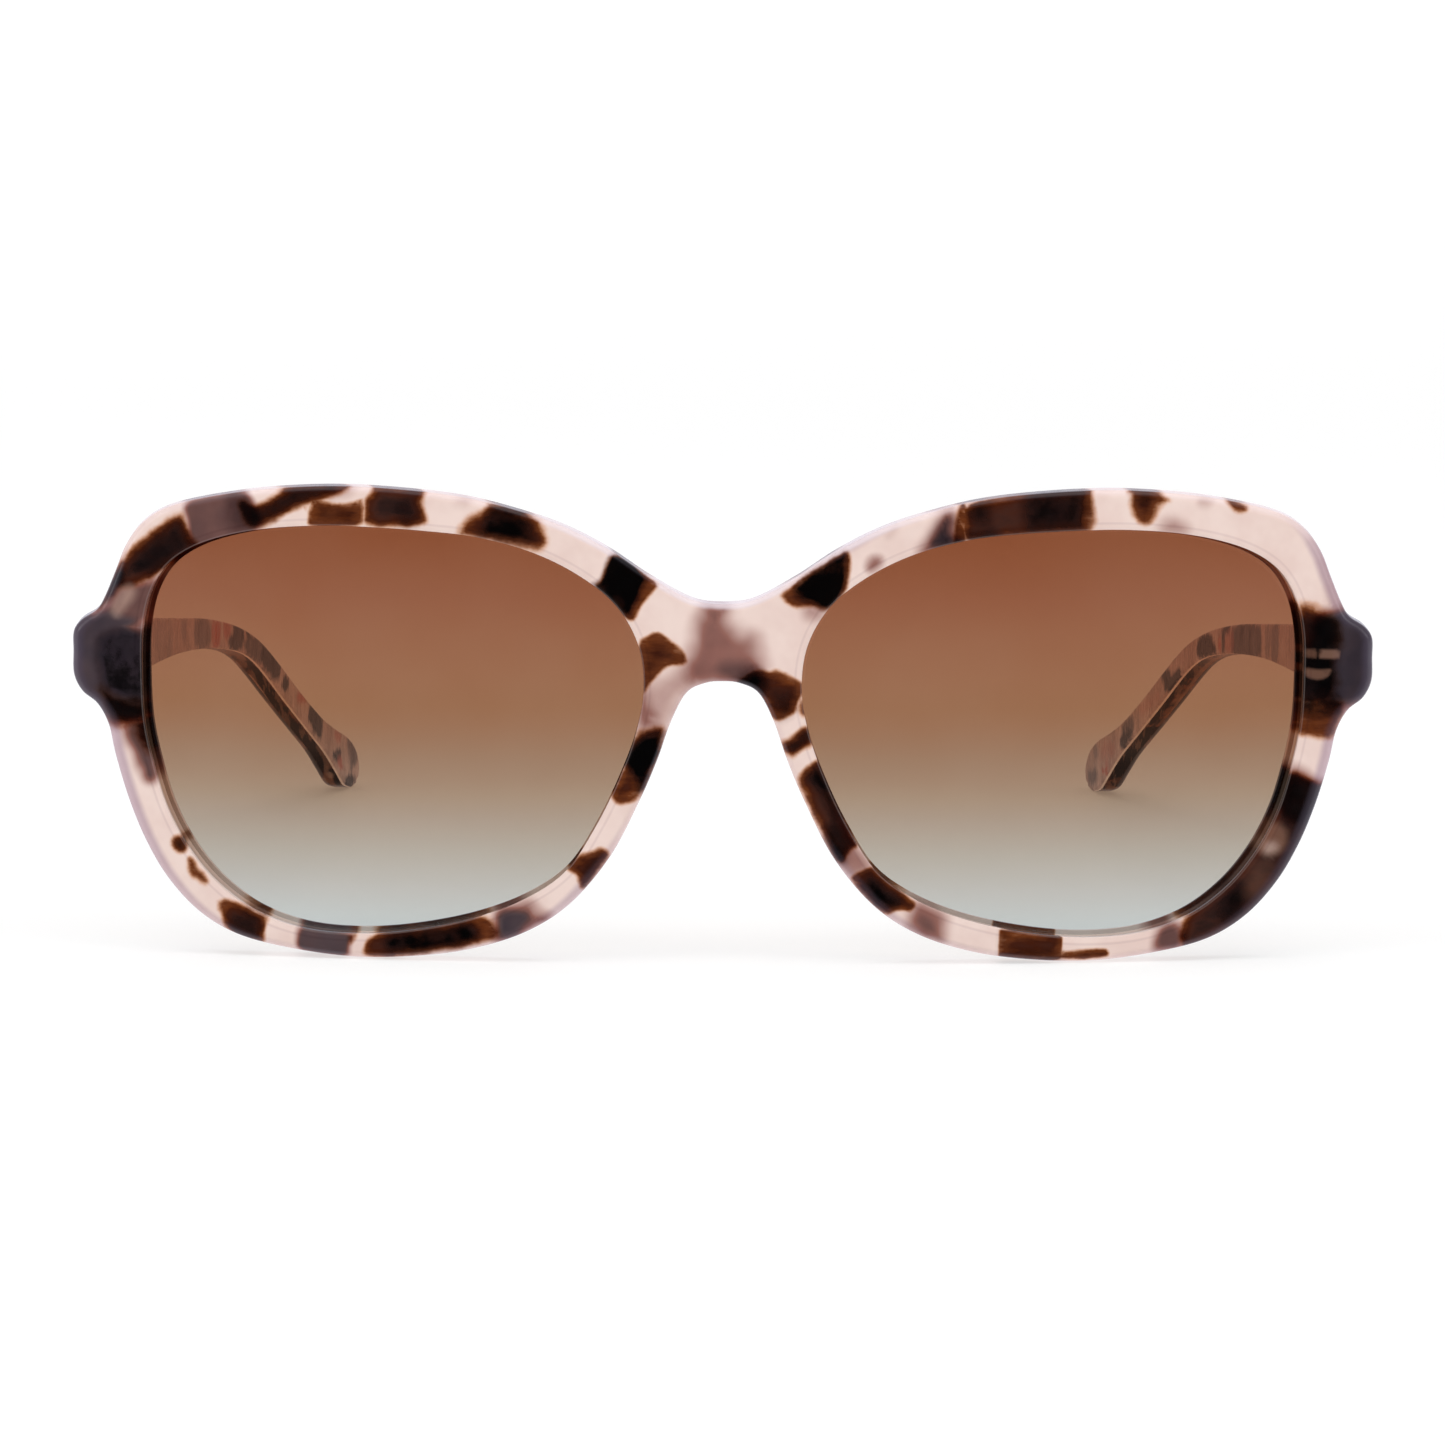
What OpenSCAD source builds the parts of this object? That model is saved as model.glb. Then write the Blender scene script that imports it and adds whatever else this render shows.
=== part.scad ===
// Cat eye sunglasses: an acetate front with two tinted lenses, glued nose pads,
// two laminated temples on three-barrel hinges, and a core wire in each temple.
// Millimetres. +X is the wearer's left, +Y points from the front to the temple
// tips, +Z is up. The glasses stand open on their rims and temple tips at z = 0,
// and the origin is the middle of the footprint.
// Parts are drawn on the wearer's left with the bridge at y = 0, and place()
// moves them back to the origin. Right-hand parts are mirror images.

/* [Front] */
// Wrap radius of the front, seen from above
front_r = 300; // [280:5:330]
// Thickness of the front sheet
front_t = 4.2; // [4.0:0.1:4.4]
// Height of the datum line of the outlines above the table
datum_z = 26.95; // [26.9:0.01:27.0]
// Length from the bridge to the temple tips
depth = 146; // [145.8:0.1:146.2]

/* [Lenses] */
// Distance from the middle of the front to the middle of each lens
lens_x = 37; // [36.5:0.1:37.5]
// Turn of each lens towards the temple, in degrees
lens_turn = 7.1; // [6.5:0.1:7.5]
// Radius of the lens front surface, base four
lens_r = 132; // [125:1:140]
// Lens thickness
lens_t = 2.0; // [1.8:0.1:2.1]
// How far the lens crown stands proud of the front
lens_proud = 0.62; // [0.4:0.02:0.8]
// Depth of the lens edge inside its groove
lens_bite = 0.5; // [0.4:0.05:0.5]
// How much the rear lip stands further in than the front lip
rear_lip = 0.36; // [0.2:0.02:0.5]
// Clearance of the lens in its groove
lens_gap = 0.05; // [0.03:0.01:0.08]

/* [Hinges] */
// Distance of each hinge pin from the middle
pin_x = 66.5; // [66.4:0.05:66.6]
// Distance of each hinge pin behind the bridge
pin_y = 14.85; // [14.8:0.01:14.9]
// Height of the hinge above the table
pin_z = 32.15; // [32.0:0.05:32.3]
// Plane where the temple butts against the end piece
joint_y = 13.25; // [13.2:0.01:13.27]
// Radius of the barrels
barrel_r = 1.5; // [1.4:0.02:1.52]
// Height of each front barrel
front_barrel_h = 1.2; // [1.0:0.05:1.3]
// Height of the space for the temple barrel
barrel_space = 1.0; // [0.9:0.05:1.2]
// Radius of the screw shank
screw_r = 0.68; // [0.6:0.01:0.7]

/* [Temples] */
// Distance of the inner face from the middle, at the hinge
temple_x = 68.3; // [68.25:0.05:68.4]
// Inward slope of the temple behind the hinge
toe_in = 0.094; // [0.08:0.002:0.1]
// Inward bow of the temple behind its straight part
bow = 0.00072; // [0.0005:0.00001:0.0008]
// Length of the straight part behind the hinge
straight_l = 20; // [16:1:24]
// Thickness of the temple at the hinge
temple_t = 3.9; // [3.7:0.1:4.0]
// Loss of thickness for each millimetre of length
taper = 0.005; // [0.003:0.001:0.013]
// Thickness of the printed inner sheet
print_t = 0.3; // [0.2:0.05:0.4]
// Thickness of the light sheet behind it
liner_t = 0.3; // [0.2:0.05:0.4]
// Thickness of the core wire
wire_t = 0.9; // [0.7:0.05:1.0]
// Height of the core wire
wire_h = 1.6; // [1.2:0.1:1.8]

/* [Nose pads] */
// How far the pads stand behind the rims
pad_out = 5.2; // [4:0.2:6]

/* [Hidden] */
$fn = 64;

gap = 0.02;       // room around sunk metal and the screw thread

// front
end_corner = [64.7, 9, 27.9];   // block that bounds a thickened end piece
end_size = [9, 6, 9.6];
lip_back = 1.9;                 // where the front lip of a lens opening ends
groove_spare = 0.1;             // groove depth beyond the lens edge
crown_drop = 1.5;               // lens crown below the datum line
lens_front = -4;                // range that holds a whole lens, square to it
lens_back = 8;
front_y = front_r - sqrt(front_r * front_r - lens_x * lens_x);

// hinges
leaf_x = 65.6;                  // leaf sunk in the end piece
leaf_y = 12.65;
leaf_w = 3.8;
leaf_h = 4;
leg_inset = 0.3;                // legs of the leaf, level with the front barrels
leg_y = 10.8;
leg_l = 2;
arm_inset = 0.85;               // arms from the leaf to the front barrels
arm_w = 1.95;
arm_overlap = 0.2;
temple_arm = [2, 2.2];          // arm from the temple barrel to its plate, x and y
temple_arm_front = 0.9;
barrel_gap = 0.05;              // above and below the temple barrel
turn_gap = 0.04;                // around the shank and head where they turn
head_r = 1.13;
head_h = 0.68;
seat_depth = 0.5;
shank_short = 0.1;
slot_w = 0.32;
slot_below = 0.05;              // slot floor below the top of the barrels
low_z = pin_z - barrel_space / 2 - front_barrel_h;
top_z = pin_z + barrel_space / 2 + front_barrel_h;
front_barrel_z = [low_z, pin_z + barrel_space / 2];

// temples
temple_y = joint_y + 0.05;      // front end, just clear of the end piece
plate_y = 0.5;                  // start of the hinge plate behind temple_y
plate_l = 7.4;
plate_h = 3.6;
plate_t = 0.9;
pocket_over = 0.5;              // pocket runs out through the inner face
bow_steps = 18;
wire_in = print_t + liner_t + 0.35;   // depth of the wire under the inner face
wire_steps = 30;
wire_y = [for (i = [0:wire_steps]) 26 + i * 3.7];

// half of the outline of the front, from the top of the bridge round to its
// underside, as [x, z] from the datum line
outline = [
    [0, 13.1], [3.5, 13.6], [8, 16], [12.4, 18.9], [16.8, 21.2], [21.2, 22.8],
    [27.9, 24.5], [35, 25.35], [43.2, 25.65], [51.2, 25.1], [58, 23.95], [62.2, 22.7],
    [64.8, 20.9], [66.5, 18.5], [67.6, 15.8], [68.8, 12.9], [69.8, 11.2], [71.55, 10],
    [72.45, 8.7], [72.5, 6.5], [72.45, 3.9], [71.5, 2], [69.75, 0.6], [68.5, -1.7],
    [67.75, -5], [66.3, -9.8], [64.4, -14.4], [61.9, -18.6], [58.4, -22.3], [54, -24.8],
    [48, -26.2], [41.2, -26.95], [34.4, -26.75], [27.9, -25.8], [21.8, -23.8],
    [16.8, -20.5], [12.4, -15.2], [9.2, -9], [7.2, -4.3], [5.7, 0], [4, 3.2], [1.9, 4.3]];
under_bridge = [0, 4.5];

// opening for a lens at its front lip, clockwise as [x, z] from the datum line
opening = [
    [44, 21.3], [50, 20.9], [55, 20], [59, 18.6], [62, 16.5], [63.9, 13.4],
    [64.8, 9.4], [64.9, 4.5], [64.6, -1], [63.6, -5.8], [62.1, -10.6], [59.7, -15.1],
    [56.4, -19], [52, -22.1], [46.5, -23.9], [40, -24.3], [33.4, -23.6], [27, -22.1],
    [21.5, -19.8], [17.2, -16.6], [14, -11.6], [11.5, -6.3], [9.7, -1.2], [8.9, 3.6],
    [9.5, 8.5], [11.9, 12.8], [15.9, 16.1], [21.2, 18.7], [27.4, 20.3], [33, 20.9],
    [38.5, 21.2]];

// side view of a temple as [y, z]: upper edge and tip, then lower edge
temple_top = [
    [13.3, 36.8], [25, 35.35], [39, 33.7], [57, 31.65], [73, 29.75],
    [86, 27.65], [95, 25.6], [102.5, 23.2], [111, 19.5], [121, 14.7], [130, 10.6],
    [136, 8.4], [141, 6.75], [144.4, 4.9], [146, 2.6], [145.3, 0.6], [143, 0]];
temple_low = [
    [143, 0], [140.4, 0.75], [137.2, 2.8], [132, 6], [124, 9.95],
    [113.5, 14.95], [104, 19.4], [97.5, 21.95], [91, 23.65], [83, 24.95],
    [72.8, 26.2], [57.7, 27.4], [38.2, 28.1], [25, 28.25], [13.3, 28.3]];

// balls that span a nose pad, as [x, y, z from the datum line, radius]:
// three at the rim, then three behind them
pad_balls = [
    [7.6, 4, 1.2, 1.4], [9.5, 4, -5, 1.5], [13.3, 4.1, -13, 1.3],
    [9, pad_out + 2.3, 0.3, 1.3], [10.7, pad_out + 2.9, -5, 1.5],
    [13.9, pad_out + 2.6, -11.3, 1.3]];

// Catmull-Rom curve from b to c, with neighbours a and d, at t from 0 to 1
function spline(a, b, c, d, t) = 0.5 * (2 * b + (c - a) * t
    + (2 * a - 5 * b + 4 * c - d) * t * t + (3 * b - a - 3 * c + d) * t * t * t);

// smooth curves through points, with the given steps from one to the next
function loop_curve(points, steps) = let (n = len(points))
    [for (i = [0:n - 1]) for (k = [0:steps - 1])
        spline(points[(i + n - 1) % n], points[i], points[(i + 1) % n],
            points[(i + 2) % n], k / steps)];
function open_curve(points, steps) = let (last = len(points) - 1) concat(
    [for (i = [0:last - 1]) for (k = [0:steps - 1])
        spline(points[max(i - 1, 0)], points[i], points[i + 1],
            points[min(i + 2, last)], k / steps)],
    [points[last]]);

// a clockwise loop moved outwards
function grown(loop, distance) = let (n = len(loop)) [for (i = [0:n - 1])
    let (along = loop[(i + 1) % n] - loop[(i + n - 1) % n])
        loop[i] + distance * [-along[1], along[0]] / norm(along)];

// the other half of an outline, without its first point, which is on the axis
function mirrored(points) = [for (i = [len(points) - 1:-1:1]) [-points[i][0], points[i][1]]];

front_loop = loop_curve(concat(outline, [under_bridge], mirrored(outline)), 2);
lens_loop = [for (q = loop_curve(opening, 3)) [(q[0] - lens_x) / cos(lens_turn), q[1]]];

module place() translate([0, -depth / 2, 0]) children();

module both() {
    children();
    mirror([1, 0, 0]) children();
}

// [x, z] points made into a prism between two y planes
module face_prism(points, front, back)
    translate([0, back, 0]) rotate([90, 0, 0]) linear_extrude(back - front) polygon(points);

// [y, z] points made into a prism across a temple
module side_prism(points)
    translate([40, 0, 0]) rotate([90, 0, 90]) linear_extrude(40) polygon(points);

module outline_prism(front, back)
    translate([0, 0, datum_z]) face_prism(front_loop, front, back);

// upright cylinder about the wrap axis of the front
module wrap_cylinder(r, z = -1, h = 60)
    translate([0, front_r, z]) cylinder(r = r, h = h, $fn = 256);

// the lens opening, grown, as a prism square to the lens
module lens_prism(grow, front, back)
    translate([lens_x, front_y, datum_z]) rotate([0, 0, lens_turn])
        face_prism(grown(lens_loop, grow), front, back);

// the shell between two depths behind the lens front surface
module lens_shell(near, far)
    translate([lens_x, front_y, datum_z - crown_drop]) rotate([0, 0, lens_turn])
        translate([0, lens_r - lens_proud, 0]) difference() {
            sphere(lens_r - near);
            sphere(lens_r - far);
        }

// the sunk leaf and legs of a front hinge, or their pocket when room is above 0
module sunk_leaf(room) {
    pocket_open = room > 0 ? 1 : 0;
    translate([leaf_x - room, leaf_y - room, pin_z - leaf_h / 2 - room])
        cube([leaf_w + 2 * room, joint_y - leaf_y + room + pocket_open, leaf_h + 2 * room]);
    for (z = front_barrel_z)
        translate([leaf_x + leg_inset - room, leg_y - room, z - room])
            cube([leaf_w - 2 * leg_inset + 2 * room, leg_l, front_barrel_h + 2 * room]);
}

module front_frame() color([0.88, 0.76, 0.72]) place() difference() {
    union() {
        intersection() {
            outline_prism(-1, 18);
            difference() {
                wrap_cylinder(front_r);
                wrap_cylinder(front_r - front_t, z = -2, h = 62);
            }
        }
        // thickened end pieces, cut flat where the temples butt
        both() intersection() {
            outline_prism(end_corner[1], joint_y);
            translate(end_corner) cube(end_size);
        }
    }
    both() {
        lens_prism(0, lens_front, lip_back);
        lens_prism(-rear_lip, 1, 12);
        // groove
        intersection() {
            lens_prism(lens_bite + groove_spare, lens_front, lens_back);
            lens_shell(-lens_gap, lens_t + lens_gap);
        }
        sunk_leaf(gap);
    }
}

module lens() place() intersection() {
    lens_prism(lens_bite, lens_front, lens_back);
    lens_shell(0, lens_t);
}
module lens_left() color([0.55, 0.35, 0.24]) lens();
module lens_right() color([0.55, 0.35, 0.24]) mirror([1, 0, 0]) lens();

// a bean shaped pad, cut to sit on the back of the rim beside the nose
module nose_pad() place() intersection() {
    hull() for (ball = pad_balls)
        translate([ball[0], ball[1], datum_z + ball[2]]) sphere(ball[3], $fn = 20);
    wrap_cylinder(front_r - front_t);
}
module nose_pad_left() color([0.86, 0.72, 0.68]) nose_pad();
module nose_pad_right() color([0.86, 0.72, 0.68]) mirror([1, 0, 0]) nose_pad();

// upright cylinder on the hinge pin axis
module pin_cylinder(z, r, h) translate([pin_x, pin_y, z]) cylinder(r = r, h = h, $fn = 48);

module front_hinge() place() difference() {
    union() {
        sunk_leaf(0);
        for (z = front_barrel_z) {
            pin_cylinder(z, barrel_r, front_barrel_h);
            translate([pin_x - arm_inset, joint_y - arm_overlap, z])
                cube([arm_w, pin_y - joint_y + arm_overlap, front_barrel_h]);
        }
    }
    // threaded bore, free bore and seat for the screw head
    pin_cylinder(low_z - 1, screw_r + gap, 2.5);
    pin_cylinder(pin_z, screw_r + turn_gap, 3);
    pin_cylinder(top_z - seat_depth, head_r + turn_gap, 2);
}
module front_hinge_left() color([0.72, 0.7, 0.66]) front_hinge();
module front_hinge_right() color([0.72, 0.7, 0.66]) mirror([1, 0, 0]) front_hinge();

// the round-ended plate let into the inner face of a temple, or its pocket when
// room is above 0
module temple_plate(room) {
    over = room > 0 ? pocket_over : 0;
    thickness = plate_t + over + room;
    translate([temple_x, temple_y, pin_z]) rotate([0, 0, atan(toe_in)])
        translate([-over, plate_y - room, 0]) {
            translate([0, 0, -plate_h / 2 - room])
                cube([thickness, plate_l + room, plate_h + 2 * room]);
            translate([0, plate_l + room, 0]) rotate([0, 90, 0])
                cylinder(r = plate_h / 2 + room, h = thickness, $fn = 48);
        }
}

module temple_hinge() {
    barrel_z = pin_z - barrel_space / 2 + barrel_gap;
    barrel_h = barrel_space - 2 * barrel_gap;
    place() difference() {
        union() {
            temple_plate(0);
            pin_cylinder(barrel_z, barrel_r, barrel_h);
            translate([pin_x, pin_y - temple_arm_front, barrel_z])
                cube([temple_arm[0], temple_arm[1], barrel_h]);
        }
        pin_cylinder(pin_z - 2, screw_r + turn_gap, 4);
    }
}
module temple_hinge_left() color([0.72, 0.7, 0.66]) temple_hinge();
module temple_hinge_right() color([0.72, 0.7, 0.66]) mirror([1, 0, 0]) temple_hinge();

// a slotted screw, threaded in the lower front barrel
module hinge_screw() difference() {
    union() {
        pin_cylinder(low_z, screw_r, top_z - low_z - shank_short);
        pin_cylinder(top_z - seat_depth + gap, head_r, head_h);
    }
    translate([pin_x - 2, pin_y - slot_w / 2, top_z - slot_below]) cube([4, slot_w, 1]);
}
module hinge_screws() color([0.78, 0.76, 0.72]) place() both() hinge_screw();

// plan of a temple at distance d behind its front end: x of the inner face, and
// thickness
function inner_x(d) = temple_x - toe_in * d - bow * pow(max(0, d - straight_l), 2);
function thick(d) = temple_t - taper * d;
bow_l = depth - joint_y + 1 - straight_l;
plan_d = concat([0, straight_l],
    [for (i = [1:bow_steps]) straight_l + i * bow_l / bow_steps]);

// edges of the side view, and their parts ahead of the tip in order of y
upper = open_curve(temple_top, 3);
lower = open_curve(temple_low, 3);
tip_y = 141;
upper_run = [for (q = upper) if (q[0] < tip_y) q];
lower_run = [for (i = [len(lower) - 1:-1:0]) if (lower[i][0] < tip_y) lower[i]];
function mid_z(y) = (lookup(y, upper_run) + lookup(y, lower_run)) / 2;

// the band of a temple between two depths under its inner face; far = 0 means
// out to the outer face
module plan_band(near, far)
    linear_extrude(60) polygon(concat(
        [for (d = plan_d) [inner_x(d) + near, temple_y + d]],
        [for (i = [len(plan_d) - 1:-1:0]) let (d = plan_d[i])
            [inner_x(d) + (far > 0 ? far : thick(d)), temple_y + d]]));

// point on the upper (side = 1) or lower (side = -1) edge of the core wire
function wire_point(i, side, room) = [
    wire_y[i] + (i == 0 ? -room : i == wire_steps ? room : 0),
    mid_z(wire_y[i]) + side * (wire_h / 2 + room)];

// the core wire, or its channel when room is above 0
module core_wire(room) intersection() {
    translate([0, 0, -5]) plan_band(wire_in - room, wire_in + wire_t + room);
    side_prism(concat(
        [for (i = [0:wire_steps]) wire_point(i, 1, room)],
        [for (i = [wire_steps:-1:0]) wire_point(i, -1, room)]));
}

// one sheet of a temple, less the plate pocket and any children
module temple_layer(near, far) place() difference() {
    intersection() {
        plan_band(near, far);
        side_prism(concat(upper, [for (i = [1:len(lower) - 1]) lower[i]]));
    }
    temple_plate(gap);
    children();
}
module temple_outer() temple_layer(print_t + liner_t, 0) core_wire(gap);
module temple_liner() temple_layer(print_t, print_t + liner_t);
module temple_print() temple_layer(0, print_t);

module temple_outer_left() color([0.2, 0.13, 0.11]) temple_outer();
module temple_outer_right() color([0.2, 0.13, 0.11]) mirror([1, 0, 0]) temple_outer();
module temple_liner_left() color([0.9, 0.87, 0.82]) temple_liner();
module temple_liner_right() color([0.9, 0.87, 0.82]) mirror([1, 0, 0]) temple_liner();
module temple_print_left() color([0.85, 0.62, 0.52]) temple_print();
module temple_print_right() color([0.85, 0.62, 0.52]) mirror([1, 0, 0]) temple_print();
module core_wire_left() color([0.7, 0.7, 0.7]) place() core_wire(0);
module core_wire_right() color([0.7, 0.7, 0.7]) mirror([1, 0, 0]) place() core_wire(0);

front_frame();
lens_left();
lens_right();
nose_pad_left();
nose_pad_right();
front_hinge_left();
front_hinge_right();
temple_hinge_left();
temple_hinge_right();
hinge_screws();
temple_outer_left();
temple_outer_right();
temple_liner_left();
temple_liner_right();
temple_print_left();
temple_print_right();
core_wire_left();
core_wire_right();
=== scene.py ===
# Cat eye sunglasses standing on a table at z = 0. The front faces -y, the temples run back
# along +y, and +x is the wearer's left. Lengths are in millimetres, and y counts back from
# the front surface at the bridge; mesh() moves the origin and turns them into metres.
import bpy
import bmesh
import math
import numpy as np
from mathutils import Matrix, Vector
from mathutils.geometry import delaunay_2d_cdt


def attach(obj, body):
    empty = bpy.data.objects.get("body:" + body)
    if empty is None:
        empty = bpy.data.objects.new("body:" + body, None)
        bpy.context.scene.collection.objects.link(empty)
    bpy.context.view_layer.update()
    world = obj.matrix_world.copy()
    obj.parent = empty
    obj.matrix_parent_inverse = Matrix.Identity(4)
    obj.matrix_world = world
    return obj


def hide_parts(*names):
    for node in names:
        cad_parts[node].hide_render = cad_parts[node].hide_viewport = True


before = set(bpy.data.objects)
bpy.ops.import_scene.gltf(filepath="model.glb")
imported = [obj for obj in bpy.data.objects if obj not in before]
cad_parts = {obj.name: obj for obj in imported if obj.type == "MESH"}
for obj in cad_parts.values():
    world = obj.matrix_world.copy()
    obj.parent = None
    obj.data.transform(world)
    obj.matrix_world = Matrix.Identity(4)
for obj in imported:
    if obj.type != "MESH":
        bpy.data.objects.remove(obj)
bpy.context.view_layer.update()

# ---------------------------------------------------------------- shape of the design
SIDES = {1: "left", -1: "right"}
DATUM = 26.95            # height of the bridge datum above the table
ORIGIN_Y = 73.0          # bridge front surface to the middle of the footprint
FRONT_RADIUS = 300.0     # front base curve
FRONT_THICK = 4.2        # acetate thickness
JOINT_Y = 13.25          # plane where front and temples meet
LENS_X, LENS_Y = 37.0, 2.29              # origin of the lens frame
LENS_TURN = math.radians(7.1)            # wrap of the lens about the vertical
SIN, COS = math.sin(LENS_TURN), math.cos(LENS_TURN)
SPHERE_Y, SPHERE_DROP = 131.38, 1.5      # centre of the lens spheres, in depth and below the datum
LENS_FRONT, LENS_REAR = 132.0, 130.0     # their radii
BEVEL_WIDTH, BEVEL_DEPTH = 0.5, 0.16     # chamfer around the openings
LEDGE = 0.36             # how far the rear of an opening stands in from its front


def points(text):
    """Points from a text of comma-joined pairs."""
    return [tuple(map(float, pair.split(","))) for pair in text.split()]


def flakes(text):
    """Flakes (strength, softness, corners) from entries 'place: strength softness: corners'."""
    table = []
    for entry in text.split(";"):
        _, look, corners = entry.split(":")
        strength, softness = map(float, look.split())
        table.append((strength, softness, points(corners)))
    return table


# left half of the front's outline from the top of the bridge: x, height from the datum
HALF_OUTLINE = points("""
0,13.1 3.5,13.6 8,16 12.4,18.9 16.8,21.2 21.2,22.8 27.9,24.5 35,25.35 43.2,25.65 51.2,25.1
58,23.95 62.2,22.7 64.8,20.9 66.5,18.5 67.6,15.8 68.8,12.9 69.8,11.2 71.55,10 72.45,8.7 72.5,6.5
72.45,3.9 71.5,2 69.75,0.6 68.5,-1.7 67.75,-5 66.3,-9.8 64.4,-14.4 61.9,-18.6 58.4,-22.3 54,-24.8
48,-26.2 41.2,-26.95 34.4,-26.75 27.9,-25.8 21.8,-23.8 16.8,-20.5 12.4,-15.2 9.2,-9 7.2,-4.3
5.7,0 4,3.2 1.9,4.3""")
BRIDGE_FOOT = (0, 4.5)
# left lens opening: x, height from the datum
OPENING = points("""
44,21.3 50,20.9 55,20 59,18.6 62,16.5 63.9,13.4 64.8,9.4 64.9,4.5 64.6,-1 63.6,-5.8 62.1,-10.6
59.7,-15.1 56.4,-19 52,-22.1 46.5,-23.9 40,-24.3 33.4,-23.6 27,-22.1 21.5,-19.8 17.2,-16.6
14,-11.6 11.5,-6.3 9.7,-1.2 8.9,3.6 9.5,8.5 11.9,12.8 15.9,16.1 21.2,18.7 27.4,20.3 33,20.9
38.5,21.2""")
# upper and lower edges of a temple, to the tip and back: y, z
TEMPLE_TOP = points("""
13.3,36.8 25,35.35 39,33.7 57,31.65 73,29.75 86,27.65 95,25.6 102.5,23.2 111,19.5 121,14.7
130,10.6 136,8.4 141,6.75 144.4,4.9 146,2.6 145.3,0.6 143,0""")
TEMPLE_LOW = points("""
143,0 140.4,0.75 137.2,2.8 132,6 124,9.95 113.5,14.95 104,19.4 97.5,21.95 91,23.65 83,24.95
72.8,26.2 57.7,27.4 38.2,28.1 25,28.25 13.3,28.3""")

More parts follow.
